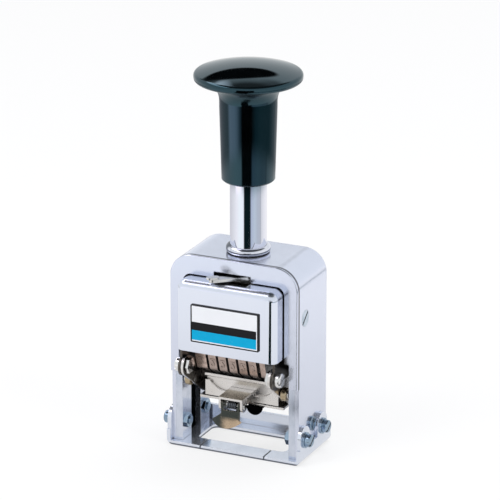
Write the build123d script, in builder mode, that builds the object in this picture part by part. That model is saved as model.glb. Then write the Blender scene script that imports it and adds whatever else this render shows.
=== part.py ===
from build123d import *
import os
from math import atan2, cos, degrees, radians, sin

os.makedirs("parts", exist_ok=True)

# A plunger numbering machine, in millimetres. +X is its right, +Y its back, +Z up.
# The origin lies on the table, under the axis of the plunger.

# Sheet-metal case
case_depth = 27.0
case_head_room = 7.4
case_wall = 1.5
shoulder_radius = 9.0
plate_thickness = 1.6
plate_bottom = 30.0
plate_edge_round = 0.4
rear_plate_thickness = 1.2
rear_plate_inset = 0.3

# Window of the front plate, in which the front cover travels
window_top = 70.5
window_corner_radius = 3.4
window_step_room = 0.9
window_step_height = 40.0
lever_notch_left = -8.1
lever_notch_right = 7.1
lever_notch_room = 0.7

# Base frame, bent from one sheet with an ear at each corner of its sides
base_sheet = 1.5
base_front = -14.2
base_bend_radius = 2.3
base_corner_radius = 0.5
base_opening_front = -6.9
base_opening_rear = 8.5
base_opening_radius = 2.5
ear_half_width = 4.4
ear_tip_flat = 0.2
ear_top = 14.4
ear_strip_height = 6.0
front_ear_y = -9.1
rear_ear_y = 7.0
rear_strip_height = 7.2
align_line_depth = 0.25
align_line_width = 0.5
align_line_left = -13.8
align_line_right = 12.9

# Screws of the case
ear_screw_height = 9.0
ear_screw_radius = 1.5
ear_head_radius = 2.5
ear_head_height = 2.3
ear_washer_radius = 3.1
ear_washer_thickness = 0.6
ear_head_round = 0.76
ear_nut_radius = 2.9
ear_nut_thickness = 1.7
ear_screw_end = 0.6
ear_slot_turn = 35
guide_screw_y = -0.3
guide_screw_height = 12.4
guide_head_radius = 2.8
guide_head_thickness = 0.9
guide_slot_turn = 70
side_screw_y = -6.3
side_screw_height = 57.0
side_head_radius = 3.15
side_shank_radius = 1.6
side_slot_turn = 40
slot_width = 0.8
slot_depth = 0.6

# Guide rails, channels that stand inside the side walls, and the strips between them
rail_width = 2.7
rail_sheet = 0.9
rail_gap_half = 4.2
rail_top = 66.0
strip_thickness = 0.3
strip_half_gap = 0.4
strip_edge_gap = 0.1
strip_running_gap = 0.2

# Plunger
tube_radius = 7.0
tube_wall = 1.4
tube_grip = 25.6
tube_flange_radius = 8.3
tube_flange_thickness = 1.2
stud_radius = 4.5
stem_nut_radius = 6.8
stem_nut_thickness = 2.4
collar_radius = 8.5
collar_height = 3.0
collar_bead_round = 1.35
collar_sleeve_radius = 7.6
stroke = 27.6
print_gap = 0.3

# Knob, turned in one piece
knob_stop_gap = 0.9
knob_skirt_height = 38.9
knob_skirt_radius = 10.1
knob_skirt_taper = 1.1
knob_neck_round = 7.4
knob_head_radius = 20.55
knob_rim_thickness = 2.9
knob_rim_flat = 0.1
knob_crown_rise = 3.5
knob_counterbore_radius = 9.2
knob_counterbore_depth = 4.4
knob_edge_round = 0.6

# Carriage that hangs on the tube
carriage_sheet = 0.8
carriage_front = -11.2
carriage_rear = 10.5
carriage_drop = 0.9
carriage_roof = 1.2
carriage_skirt = 5.0
carriage_nose_front = -19.2
carriage_nose_top = 58.0
carriage_lug_radius = 4.2
block_half_depth = 3.9
block_height = 8.0
block_corner_radius = 0.6

# Front cover, deep drawn
cover_front = -20.9
cover_rear = -12.4
cover_bottom = 42.1
cover_gap = 0.4
cover_wall = 1.0
cover_corner_radius = 3.4
cover_edge_radius = 2.8
cover_slot_front = -18.2
label_width = 28.2
label_height = 15.0
label_centre = 54.0
label_thickness = 0.6
label_corner_radius = 0.4

# Number wheels, ten-sided, with a face down to print
wheel_y = -1.0
wheel_radius = 10.2
wheel_faces = 10
wheel_width = 3.2
wheel_pitch = 4.2
wheel_count = 5
first_wheel_x = -10.2
wheel_recess_radius = 7.6
wheel_recess_depth = 0.3
ratchet_tip_radius = 8.4
ratchet_root_radius = 7.2
ratchet_thickness = 0.75
ratchet_undercut = 2.0
prefix_width = 4.4
prefix_gap = 0.25
drive_disc_width = 2.2
drive_disc_gap = 0.75
axle_radius = 2.5
axle_inset = 0.2
hub_ring_radius = 5.0
spacer_radius = 4.0
spacer_length = 1.45

# Pawls that ride in the gaps between the wheels
pawl_shaft_radius = 1.5
pawl_shaft_rise = 14.9
pawl_shaft_offset = 7.5
pawl_hub_radius = 2.4
pawl_tip_gap = 0.35
pawl_width = 0.5
pawl_tip_angle = 35.0
pawl_heel = 1.6
pawl_root_inset = 0.24
pawl_hub_overhang = 1.0

# Inking arm and its tray
pivot_y = -17.2
pivot_drop = 2.7
pivot_pin_radius = 1.6
pivot_head_radius = 2.9
pivot_head_height = 2.4
pivot_head_round = 0.8
pivot_slot_turn = 20
pivot_nut_radius = 3.1
pivot_nut_thickness = 1.2
arm_sheet = 1.0
arm_ring_radius = 4.0
arm_toe_y = -2.5
arm_toe_rise = 1.2
tray_sheet = 0.9
tray_front = -6.1
tray_floor = 18.2
tray_heel_y = 0.0
tray_rear = 3.4
tray_rear_rise = 4.5
tray_rim = 27.0
apron_half_width = 15.3
apron_gap = 0.4
apron_top = 25.7
apron_tip_width = 1.6
apron_tip_round = 1.5
apron_cut_slope = 3.7
apron_cut_bottom = 22.0
apron_cut_radius = 8.0
tongue_half_width = 4.9
tongue_front = -16.4
tongue_top = 23.9
lug_bottom = 18.3
lug_depth = 4.4
lug_round = 1.98
pad_gap = 0.3
pad_half_length = 14.1
pad_proud = 1.0
pad_edge_round = 0.5
pocket_floor_rise = 0.7
cartridge_wall = 0.8
lip_front = -7.4
lip_gap = 0.5
lip_sheet = 0.9
lip_root = 1.1
tab_centre_x = 5.8
tab_radius = 3.3
tab_sheet = 0.75
tab_stand_off = 0.5
tab_strip_length = 5.4

# Rollers on the inking arm
roller_y = -10.1
roller_z = 26.7
roller_radius = 2.6
roller_width = 2.3
roller_room = 0.55
roller_pin_radius = 1.0
roller_cap_radius = 1.6
roller_cap_thickness = 0.5
roller_edge_chamfer = 0.3

# Thumb latch on the tongue
latch_pin_y = -14.2
latch_pin_z = 20.5
latch_pin_radius = 0.8
latch_sheet = 0.8
latch_ear_radius = 1.6
latch_centre_x = -2.7
latch_half_width = 6.0
latch_bottom = 11.3
latch_fan_top = 17.4
latch_bow_radius = 9.0
latch_tip_z = 13.4
latch_neck_reach = 3.8
latch_lap = 1.6
latch_gap = 0.2
latch_head_radius = 1.2
latch_head_height = 0.4
latch_spring_wire = 0.7
latch_spring_turns = 5
latch_spring_half = 2.4
latch_spring_room = 0.15

# Selector lever
lever_pivot_x = 6.5
lever_pivot_y = -8.5
lever_tip_x = -5.9
lever_tip_y = -19.2
lever_gap = 0.8
lever_thickness = 1.2
lever_width = 3.0
lever_hub_radius = 2.3
lever_post_radius = 1.3
lever_grip_rise = 0.7
lever_grip_length = 5.0
lever_shoulder_radius = 2.0
lever_post_head = 0.7

# Return springs, which hang in the rails above the slide blocks
spring_wall_gap = 0.6
spring_pin_rise = 3.6
spring_pin_radius = 0.7
spring_wire = 0.6
spring_coil_radius = 1.6
spring_turns = 11
spring_end_gap = 0.1

# Fits
running_gap = 0.05
side_gap = 0.3
seat_gap = 0.02
seat_room = 0.1

# Wheel pack, from which the machine is built outwards
wheel_apothem = wheel_radius * cos(radians(180 / wheel_faces))
wheel_z = wheel_apothem + stroke + print_gap
last_wheel_x = first_wheel_x + (wheel_count - 1) * wheel_pitch
drive_disc_left = last_wheel_x + wheel_width / 2 + ratchet_thickness + drive_disc_gap
drive_disc_right = drive_disc_left + drive_disc_width
prefix_right = first_wheel_x - wheel_width / 2 - (wheel_pitch - wheel_width)
prefix_left = prefix_right - prefix_width

# Widths: carriage plates, cover and window, arms and rollers, rails, walls, ears
plate_inner = side_gap / 2 + spacer_length - prefix_left
plate_outer = plate_inner + carriage_sheet
cover_half = plate_outer + cover_wall
window_half_width = cover_half + cover_gap
arm_outer = plate_inner - side_gap
arm_inner = arm_outer - arm_sheet
roller_left = arm_outer + side_gap
cap_left = roller_left + roller_width + running_gap
pivot_head_top = plate_outer + pivot_head_height
window_wide_half_width = pivot_head_top + window_step_room
rail_inner = cap_left + roller_cap_thickness + roller_room
wall_inner = rail_inner + rail_width
block_outer = wall_inner - strip_thickness - strip_running_gap
spring_x = wall_inner - spring_wall_gap - spring_coil_radius - spring_wire / 2
case_half = wall_inner + case_wall
case_width = 2 * case_half
ear_outer = case_half + base_sheet

# Depths
front_face = -case_depth / 2
rear_face = case_depth / 2
shell_front = front_face + plate_thickness
rear_plate_front = rear_face - rear_plate_inset - rear_plate_thickness

# Heights: cover, carriage roof, lever, top of the case, knob
cover_top = window_top - cover_gap
carriage_top = cover_top - carriage_drop
carriage_bottom = wheel_z - carriage_skirt
lever_bottom = cover_top + lever_gap
lever_top = lever_bottom + lever_thickness
lever_notch_top = lever_top + lever_notch_room
case_top = window_top + case_head_room
spring_pin_z = rail_top + spring_pin_rise
pivot_z = wheel_z - pivot_drop
knob_bottom = case_top + stroke + knob_stop_gap
tube_top = knob_bottom + tube_grip


def front_plane(y):
    """Upright plane seen from the front: local x is X and local y is Z."""
    return Plane.XZ.offset(-y)


def side_plane(x):
    """Upright plane seen from the right: local x is Y and local y is Z."""
    return Plane.YZ.offset(x)


def wheel_plane(x):
    """Side plane whose origin lies on the axis of the wheels."""
    return Plane(origin=(x, wheel_y, wheel_z), x_dir=(0, 1, 0), z_dir=(1, 0, 0))


def add_arch(width, bottom, top, radius, mode=Mode.ADD):
    """Add or cut an upright face with square feet and round shoulders."""
    with Locations((0, (bottom + top) / 2)):
        RectangleRounded(width, top - bottom, radius, mode=mode)
    with Locations((0, bottom + radius)):
        Rectangle(width, 2 * radius, mode=mode)


def add_ratchet_outline():
    """Sawtooth ring, a tooth for each face of a wheel."""
    points = []
    for tooth in range(wheel_faces):
        step = 360 / wheel_faces
        tip_angle = radians(tooth * step)
        root_angle = radians(tooth * step + ratchet_undercut)
        points.append(
            (ratchet_tip_radius * cos(tip_angle), ratchet_tip_radius * sin(tip_angle))
        )
        points.append(
            (ratchet_root_radius * cos(root_angle), ratchet_root_radius * sin(root_angle))
        )
    Polygon(*points, align=None)


def finish(piece, name):
    """Label a finished piece and write it out."""
    piece.part.label = name
    export_step(piece.part, f"parts/{name}.step")


# Base frame: floor plate with its printing opening, upturned ears and rear strip
base_rear = rear_face + base_sheet
ear_places = [(y, ear_screw_height) for y in (front_ear_y, rear_ear_y)]
with BuildPart() as base_frame:
    with BuildSketch(front_plane(base_front)) as base_section:
        with Locations((0, ear_top / 2)):
            Rectangle(2 * ear_outer, ear_top)
        fillet(base_section.vertices().group_by(Axis.Y)[0], base_bend_radius)
        with Locations((0, (ear_top + base_sheet) / 2)):
            Rectangle(case_width, ear_top - base_sheet, mode=Mode.SUBTRACT)
    extrude(amount=-(base_rear - base_front))
    with BuildSketch(side_plane(0)) as ear_outline:
        with Locations(((base_front + base_rear) / 2, ear_strip_height / 2)):
            Rectangle(base_rear - base_front, ear_strip_height)
        with Locations((front_ear_y, ear_top / 2), (rear_ear_y, ear_top / 2)):
            Rectangle(2 * ear_half_width, ear_top)
        ear_corners = ear_outline.vertices().group_by(Axis.Y)[-1]
        fillet(ear_corners, ear_half_width - ear_tip_flat / 2)
    extrude(amount=ear_outer, both=True, mode=Mode.INTERSECT)
    with BuildSketch(front_plane(rear_face)):
        with Locations((0, rear_strip_height / 2)):
            Rectangle(2 * wall_inner, rear_strip_height)
    extrude(amount=-base_sheet)
    with BuildSketch() as base_opening:
        opening_middle = (base_opening_front + base_opening_rear) / 2
        with Locations((0, opening_middle)):
            RectangleRounded(
                2 * arm_outer,
                base_opening_rear - base_opening_front,
                base_opening_radius,
            )
    extrude(amount=base_sheet, mode=Mode.SUBTRACT)
    with BuildSketch(side_plane(0)):
        with Locations(*ear_places):
            Circle(ear_screw_radius + running_gap)
    extrude(amount=ear_outer, both=True, mode=Mode.SUBTRACT)
    with BuildSketch(Plane.XY.offset(base_sheet)):
        for line_x in (align_line_left, align_line_right):
            with Locations((line_x, (base_front + base_opening_front) / 2)):
                Rectangle(align_line_width, base_opening_front - base_front)
    extrude(amount=-align_line_depth, mode=Mode.SUBTRACT)
    upright = base_frame.edges().filter_by(Axis.Z)
    fillet(upright.group_by(Axis.Y)[0].group_by(SortBy.LENGTH)[0], base_corner_radius)
finish(base_frame, "base_frame")

# Outer shell: one strip bent into an arch, open at the front, back and foot
with BuildPart() as outer_shell:
    with BuildSketch(front_plane(shell_front)):
        add_arch(case_width, base_sheet, case_top, shoulder_radius)
        add_arch(
            2 * wall_inner,
            base_sheet,
            case_top - case_wall,
            shoulder_radius - case_wall,
            Mode.SUBTRACT,
        )
    extrude(amount=-(rear_face - shell_front))
    with BuildSketch(Plane.XY.offset(case_top)):
        Circle(collar_sleeve_radius + seat_gap)
    extrude(amount=-case_wall, mode=Mode.SUBTRACT)
    with BuildSketch(side_plane(0)):
        with Locations(*ear_places):
            Circle(ear_screw_radius + running_gap)
        with Locations((guide_screw_y, guide_screw_height)):
            Circle(ear_screw_radius + running_gap)
        with Locations((side_screw_y, side_screw_height)):
            Circle(side_head_radius + running_gap)
    extrude(amount=case_half, both=True, mode=Mode.SUBTRACT)
finish(outer_shell, "outer_shell")

# Front plate: flat bezel with the stepped window and the notch of the lever
with BuildPart() as front_plate:
    with BuildSketch(front_plane(front_face)):
        add_arch(case_width, plate_bottom, case_top, shoulder_radius)
    extrude(amount=-plate_thickness)
    outline = front_plate.faces().sort_by(Axis.Y)[0].edges()
    fillet(outline, plate_edge_round)
    with BuildSketch(front_plane(front_face)):
        add_arch(2 * window_half_width, plate_bottom, window_top, window_corner_radius)
        with Locations((0, (window_step_height + plate_bottom) / 2)):
            Rectangle(2 * window_wide_half_width, window_step_height - plate_bottom)
        notch_middle = (lever_notch_left + lever_notch_right) / 2
        with Locations((notch_middle, (lever_notch_top + window_top) / 2)):
            Rectangle(
                lever_notch_right - lever_notch_left, lever_notch_top - window_top
            )
    extrude(amount=-plate_thickness, mode=Mode.SUBTRACT)
finish(front_plate, "front_plate")

# Rear plate: closes the back of the arch above the legs
with BuildPart() as rear_plate:
    with BuildSketch(front_plane(rear_plate_front)):
        add_arch(
            2 * (wall_inner - seat_gap),
            plate_bottom,
            case_top - case_wall - seat_gap,
            shoulder_radius - case_wall - seat_gap,
        )
    extrude(amount=-rear_plate_thickness)
finish(rear_plate, "rear_plate")

# Guide rails: four channels that leave a slot for the slide blocks on each side
with BuildPart() as guide_rails:
    with BuildSketch(Plane.XY.offset(base_sheet)):
        for side in (-1, 1):
            for rail_front, rail_rear in (
                (shell_front, -rail_gap_half),
                (rail_gap_half, rear_plate_front),
            ):
                middle = (rail_front + rail_rear) / 2
                with Locations((side * (rail_inner + wall_inner) / 2, middle)):
                    Rectangle(wall_inner - rail_inner, rail_rear - rail_front)
                pocket = wall_inner - rail_inner - rail_sheet
                with Locations((side * (wall_inner - pocket / 2), middle)):
                    Rectangle(
                        pocket, rail_rear - rail_front - 2 * rail_sheet, mode=Mode.SUBTRACT
                    )
    extrude(amount=rail_top - base_sheet)
    with BuildSketch(side_plane(0)):
        with Locations(*ear_places):
            Circle(ear_screw_radius + running_gap)
        with Locations((side_screw_y, side_screw_height)):
            Circle(side_shank_radius + running_gap)
    extrude(amount=case_half, both=True, mode=Mode.SUBTRACT)
finish(guide_rails, "guide_rails")

# Guide strips: blackened strips that line the wall between the rails, two a side
strip_half = rail_gap_half - strip_edge_gap
with BuildPart() as guide_strips:
    with BuildSketch(Plane.XY.offset(base_sheet)):
        for side in (-1, 1):
            for behind in (-1, 1):
                strip_middle = behind * (strip_half + strip_half_gap) / 2
                with Locations((side * (wall_inner - strip_thickness / 2), strip_middle)):
                    Rectangle(strip_thickness, strip_half - strip_half_gap)
    extrude(amount=rail_top - base_sheet)
finish(guide_strips, "guide_strips")

# Collar bush: beaded guide of the tube, let into the top of the arch
sleeve_bottom = carriage_top + tube_flange_thickness + side_gap
with BuildPart() as collar_bush:
    with BuildSketch(Plane.XZ) as collar_section:
        with Locations((0, case_top)):
            Rectangle(collar_radius, collar_height, align=(Align.MIN, Align.MIN))
        collar_rim = collar_section.vertices().group_by(Axis.X)[-1]
        fillet(collar_rim, collar_bead_round)
        with Locations((0, sleeve_bottom)):
            Rectangle(
                collar_sleeve_radius,
                case_top - sleeve_bottom,
                align=(Align.MIN, Align.MIN),
            )
        with Locations((0, sleeve_bottom)):
            Rectangle(
                tube_radius + running_gap,
                case_top + collar_height - sleeve_bottom,
                align=(Align.MIN, Align.MIN),
                mode=Mode.SUBTRACT,
            )
    revolve(axis=Axis.Z)
finish(collar_bush, "collar_bush")

# Ear screws: slotted pan heads outside, washers under them, nuts on the rails
head_seat = ear_outer + ear_washer_thickness
with BuildPart() as ear_screws:
    for side in (-1, 1):
        with BuildSketch(side_plane(side * (rail_inner - ear_nut_thickness - ear_screw_end))):
            with Locations(*ear_places):
                Circle(ear_screw_radius)
        extrude(amount=side * (head_seat - rail_inner + ear_nut_thickness + ear_screw_end))
        with BuildSketch(side_plane(side * head_seat)):
            with Locations(*ear_places):
                Circle(ear_head_radius)
        extrude(amount=side * ear_head_height)
    end_faces = [
        ear_screws.faces().filter_by(Axis.X).group_by(Axis.X)[end] for end in (0, -1)
    ]
    fillet([edge for group in end_faces for edge in group.edges()], ear_head_round)
    for side in (-1, 1):
        with BuildSketch(side_plane(side * (head_seat + ear_head_height))):
            with Locations(*ear_places):
                Rectangle(2 * ear_head_radius, slot_width, rotation=ear_slot_turn)
        extrude(amount=-side * slot_depth, mode=Mode.SUBTRACT)
finish(ear_screws, "ear_screws")

with BuildPart() as ear_washers:
    for side in (-1, 1):
        with BuildSketch(side_plane(side * ear_outer)):
            with Locations(*ear_places):
                Circle(ear_washer_radius)
                Circle(ear_screw_radius + running_gap, mode=Mode.SUBTRACT)
        extrude(amount=side * ear_washer_thickness)
finish(ear_washers, "ear_washers")

with BuildPart() as ear_nuts:
    for side in (-1, 1):
        with BuildSketch(side_plane(side * rail_inner)):
            with Locations(*ear_places):
                RegularPolygon(ear_nut_radius, 6)
                Circle(ear_screw_radius + running_gap, mode=Mode.SUBTRACT)
        extrude(amount=-side * ear_nut_thickness)
finish(ear_nuts, "ear_nuts")

# Guide screws: low heads at mid depth, ending flush with the inner wall
with BuildPart() as guide_screws:
    for side in (-1, 1):
        with BuildSketch(side_plane(side * wall_inner)):
            with Locations((guide_screw_y, guide_screw_height)):
                Circle(ear_screw_radius)
        extrude(amount=side * case_wall)
        with BuildSketch(side_plane(side * case_half)):
            with Locations((guide_screw_y, guide_screw_height)):
                Circle(guide_head_radius)
        extrude(amount=side * guide_head_thickness)
    for side in (-1, 1):
        with BuildSketch(side_plane(side * (case_half + guide_head_thickness))):
            with Locations((guide_screw_y, guide_screw_height)):
                Rectangle(2 * guide_head_radius, slot_width, rotation=guide_slot_turn)
        extrude(amount=-side * slot_depth, mode=Mode.SUBTRACT)
finish(guide_screws, "guide_screws")

# Side screws: slotted heads let flush into the wall, shanks through the rails
with BuildPart() as side_screws:
    for side in (-1, 1):
        with BuildSketch(side_plane(side * rail_inner)):
            with Locations((side_screw_y, side_screw_height)):
                Circle(side_shank_radius)
        extrude(amount=side * (wall_inner - rail_inner))
        with BuildSketch(side_plane(side * wall_inner)):
            with Locations((side_screw_y, side_screw_height)):
                Circle(side_head_radius)
        extrude(amount=side * case_wall)
        with BuildSketch(side_plane(side * case_half)):
            with Locations((side_screw_y, side_screw_height)):
                Rectangle(2 * side_head_radius, slot_width, rotation=side_slot_turn)
        extrude(amount=-side * slot_depth, mode=Mode.SUBTRACT)
finish(side_screws, "side_screws")

# Spring pins: cross rods between the two plates, which hold the spring hooks
with BuildPart() as spring_pins:
    with BuildSketch(front_plane(shell_front)):
        with Locations((-spring_x, spring_pin_z), (spring_x, spring_pin_z)):
            Circle(spring_pin_radius)
    extrude(amount=-(rear_plate_front - shell_front))
finish(spring_pins, "spring_pins")

# Return springs: close coils from the pins down to the slide blocks
block_top = wheel_z + block_height / 2
spring_low = block_top + spring_end_gap
spring_high = spring_pin_z - spring_pin_radius - spring_end_gap
for side, name in ((-1, "return_spring_left"), (1, "return_spring_right")):
    with BuildPart() as return_spring:
        coil_height = spring_high - spring_low - spring_wire
        with BuildLine(Plane((side * spring_x, 0, spring_low + spring_wire / 2))):
            coil = Helix(coil_height / spring_turns, coil_height, spring_coil_radius)
        with BuildSketch(Plane(origin=coil @ 0, z_dir=coil % 0)):
            Rectangle(spring_wire, spring_wire)
        sweep(is_frenet=True)
    finish(return_spring, name)

# Knob: turned skirt and mushroom head, counterbored to pass over the collar
knob_under = knob_bottom + knob_skirt_height
knob_rim_top = knob_under + knob_rim_thickness
knob_rim_round = (knob_rim_thickness - knob_rim_flat) / 2
knob_neck_radius = knob_skirt_radius + knob_skirt_taper
knob_overhang = knob_head_radius - knob_rim_round - knob_neck_radius
with BuildPart() as knob:
    with BuildSketch(Plane.XZ) as knob_section:
        with BuildLine():
            crown = TangentArc(
                (0, knob_rim_top + knob_crown_rise),
                (knob_head_radius, knob_rim_top),
                tangent=(1, 0),
            )
            Polyline(
                crown @ 1,
                (knob_head_radius, knob_under),
                (knob_neck_radius, knob_under),
                (knob_skirt_radius, knob_bottom),
                (0, knob_bottom),
                crown @ 0,
            )
        make_face()
        fillet(knob_section.vertices().group_by(Axis.X)[-1], knob_rim_round)
        neck_corner = knob_section.vertices().sort_by(Axis.X)[3]
        fillet(neck_corner, min(knob_neck_round, knob_overhang))
        skirt_corner = knob_section.vertices().sort_by(Axis.X)[2]
        chamfer(skirt_corner, knob_edge_round)
    revolve(axis=Axis.Z)
    with BuildSketch(Plane.XY.offset(knob_bottom)):
        Circle(knob_counterbore_radius)
    extrude(amount=knob_counterbore_depth, mode=Mode.SUBTRACT)
    with BuildSketch(Plane.XY.offset(knob_bottom)):
        Circle(tube_radius + seat_gap)
    extrude(amount=tube_top - knob_bottom, mode=Mode.SUBTRACT)
finish(knob, "knob")

# Plunger tube: polished tube with a flange and a stud that passes the carriage roof
carriage_ceiling = carriage_top - carriage_roof
stud_bottom = carriage_ceiling - stem_nut_thickness
with BuildPart() as plunger_tube:
    with BuildSketch(Plane.XY.offset(carriage_top)):
        Circle(tube_radius)
    extrude(amount=tube_top - carriage_top)
    with BuildSketch(Plane.XY.offset(carriage_top)):
        Circle(tube_flange_radius)
    extrude(amount=tube_flange_thickness)
    with BuildSketch(Plane.XY.offset(carriage_top + tube_flange_thickness)):
        Circle(tube_radius - tube_wall)
    extrude(amount=tube_top - carriage_top - tube_flange_thickness, mode=Mode.SUBTRACT)
    with BuildSketch(Plane.XY.offset(stud_bottom)):
        Circle(stud_radius)
    extrude(amount=carriage_top - stud_bottom)
finish(plunger_tube, "plunger_tube")

# Stem nut: holds the stud of the tube under the carriage roof
with BuildPart() as stem_nut:
    with BuildSketch(Plane.XY.offset(stud_bottom)):
        RegularPolygon(stem_nut_radius, 6)
        Circle(stud_radius + seat_gap, mode=Mode.SUBTRACT)
    extrude(amount=stem_nut_thickness)
finish(stem_nut, "stem_nut")

# Carriage frame: bent hood whose side plates carry the axle, shafts and arm pivots
pawl_shaft_z = wheel_z + pawl_shaft_rise
pawl_shaft_y = wheel_y + pawl_shaft_offset
index_shaft_y = wheel_y - pawl_shaft_offset
lug_front = pivot_y - carriage_lug_radius
lug_bottom_z = pivot_z - carriage_lug_radius
with BuildPart() as carriage_frame:
    with BuildSketch(side_plane(-plate_outer)):
        with Locations((carriage_rear, carriage_bottom)):
            Rectangle(
                carriage_rear - carriage_front,
                carriage_top - carriage_bottom,
                align=(Align.MAX, Align.MIN),
            )
        for nose_bottom, nose_top, nose_front in (
            (pivot_z, cover_bottom, carriage_nose_front),
            (cover_bottom, carriage_nose_top, cover_front + cover_edge_radius),
        ):
            with Locations((carriage_front, nose_bottom)):
                Rectangle(
                    carriage_front - nose_front,
                    nose_top - nose_bottom,
                    align=(Align.MAX, Align.MIN),
                )
        with Locations((pivot_y, pivot_z)):
            Circle(carriage_lug_radius)
    extrude(amount=2 * plate_outer)
    roof_bends = carriage_frame.edges().filter_by(Axis.Y).group_by(Axis.Z)[-1]
    fillet(roof_bends, carriage_sheet)
    with BuildSketch(front_plane(lug_front)):
        with Locations((0, lug_bottom_z)):
            Rectangle(
                2 * plate_inner,
                carriage_ceiling - lug_bottom_z,
                align=(Align.CENTER, Align.MIN),
            )
    extrude(amount=-(carriage_rear - lug_front), mode=Mode.SUBTRACT)
    with BuildSketch(side_plane(0)):
        with Locations((wheel_y, wheel_z)):
            Circle(axle_radius + seat_gap)
        with Locations((pawl_shaft_y, pawl_shaft_z), (index_shaft_y, pawl_shaft_z)):
            Circle(pawl_shaft_radius + seat_gap)
        with Locations((pivot_y, pivot_z)):
            Circle(pivot_pin_radius + seat_gap)
    extrude(amount=plate_outer, both=True, mode=Mode.SUBTRACT)
    with BuildSketch(Plane.XY.offset(carriage_ceiling)):
        Circle(stud_radius + seat_gap)
        with Locations((lever_pivot_x, lever_pivot_y)):
            Circle(lever_post_radius + seat_gap)
    extrude(amount=carriage_roof, mode=Mode.SUBTRACT)
finish(carriage_frame, "carriage_frame")

# Slide blocks: run between the guide rails and steady the ends of the axle
with BuildPart() as slide_blocks:
    for side in (-1, 1):
        with BuildSketch(side_plane(side * plate_outer)):
            with Locations((0, wheel_z)):
                RectangleRounded(2 * block_half_depth, block_height, block_corner_radius)
            with Locations((wheel_y, wheel_z)):
                Circle(axle_radius + seat_gap, mode=Mode.SUBTRACT)
        extrude(amount=side * (block_outer - plate_outer))
finish(slide_blocks, "slide_blocks")

# Wheel axle: plain rod through wheels, plates and slide blocks
axle_half = block_outer - axle_inset
with BuildPart() as wheel_axle:
    with BuildSketch(side_plane(-axle_half)):
        with Locations((wheel_y, wheel_z)):
            Circle(axle_radius)
    extrude(amount=2 * axle_half)
    chamfer(wheel_axle.edges().filter_by(GeomType.CIRCLE), axle_inset)
finish(wheel_axle, "wheel_axle")

# Axle spacers: fill the axle between the wheel pack and the side plates
with BuildPart() as axle_spacers:
    for spacer_start, spacer_end in (
        (-plate_inner, prefix_left - side_gap / 2),
        (drive_disc_right + side_gap / 2, plate_inner),
    ):
        with BuildSketch(wheel_plane(spacer_start)):
            Circle(spacer_radius)
            Circle(axle_radius + seat_gap, mode=Mode.SUBTRACT)
        extrude(amount=spacer_end - spacer_start)
finish(axle_spacers, "axle_spacers")

# Front cover: deep-drawn lid over the nose of the carriage, open behind and below
with BuildPart() as front_cover:
    with BuildSketch(front_plane(cover_front)):
        with Locations((0, cover_bottom)):
            cover_outline = Rectangle(
                2 * cover_half, cover_top - cover_bottom, align=(Align.CENTER, Align.MIN)
            )
        fillet(cover_outline.vertices().group_by(Axis.Y)[-1], cover_corner_radius)
    extrude(amount=-(cover_rear - cover_front))
    drawn_edges = front_cover.faces().sort_by(Axis.Y)[0].edges().sort_by(Axis.Z)[1:]
    fillet(drawn_edges, cover_edge_radius)
    offset(amount=-cover_wall, openings=front_cover.faces().sort_by(Axis.Y)[-1])
    with BuildSketch(Plane.XY.offset(cover_bottom)):
        with Locations((0, cover_rear)):
            cover_mouth = Rectangle(
                2 * plate_outer,
                cover_rear - cover_front - cover_wall,
                align=(Align.CENTER, Align.MAX),
            )
        fillet(cover_mouth.vertices().group_by(Axis.Y)[0], cover_edge_radius - cover_wall)
    extrude(amount=cover_wall, mode=Mode.SUBTRACT)
    with BuildSketch(Plane.XY.offset(cover_top)):
        with Locations((notch_middle, cover_rear)):
            Rectangle(
                lever_notch_right - lever_notch_left,
                cover_rear - cover_slot_front,
                align=(Align.CENTER, Align.MAX),
            )
    extrude(amount=-cover_wall, mode=Mode.SUBTRACT)
finish(front_cover, "front_cover")

# Nameplate: blank plate that lies on the front of the cover
with BuildPart() as nameplate:
    with BuildSketch(front_plane(cover_front)):
        with Locations((0, label_centre)):
            RectangleRounded(label_width, label_height, label_corner_radius)
    extrude(amount=label_thickness)
finish(nameplate, "nameplate")

# Arm pivot screws: slotted shoulder screws through the carriage lugs
pivot_shank_end = arm_inner - side_gap - pivot_nut_thickness
with BuildPart() as arm_pivot_screws:
    for side in (-1, 1):
        with BuildSketch(side_plane(side * pivot_shank_end)):
            with Locations((pivot_y, pivot_z)):
                Circle(pivot_pin_radius)
        extrude(amount=side * (plate_outer - pivot_shank_end))
        with BuildSketch(side_plane(side * plate_outer)):
            with Locations((pivot_y, pivot_z)):
                Circle(pivot_head_radius)
        extrude(amount=side * pivot_head_height)
    head_faces = [
        arm_pivot_screws.faces().filter_by(Axis.X).sort_by(Axis.X)[end] for end in (0, -1)
    ]
    fillet([edge for face in head_faces for edge in face.edges()], pivot_head_round)
    for side in (-1, 1):
        with BuildSketch(side_plane(side * pivot_head_top)):
            with Locations((pivot_y, pivot_z)):
                Rectangle(2 * pivot_head_radius, slot_width, rotation=pivot_slot_turn)
        extrude(amount=-side * slot_depth, mode=Mode.SUBTRACT)
finish(arm_pivot_screws, "arm_pivot_screws")

with BuildPart() as arm_pivot_nuts:
    for side in (-1, 1):
        with BuildSketch(side_plane(side * pivot_shank_end)):
            with Locations((pivot_y, pivot_z)):
                RegularPolygon(pivot_nut_radius, 6)
                Circle(pivot_pin_radius + seat_gap, mode=Mode.SUBTRACT)
        extrude(amount=side * pivot_nut_thickness)
finish(arm_pivot_nuts, "arm_pivot_nuts")

# Pawl shafts: two rods between the side plates, above and beside the wheels
for shaft_y, name in ((pawl_shaft_y, "pawl_shaft"), (index_shaft_y, "index_shaft")):
    with BuildPart() as shaft:
        with BuildSketch(side_plane(-plate_outer)):
            with Locations((shaft_y, pawl_shaft_z)):
                Circle(pawl_shaft_radius)
        extrude(amount=2 * plate_outer)
    finish(shaft, name)

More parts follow.
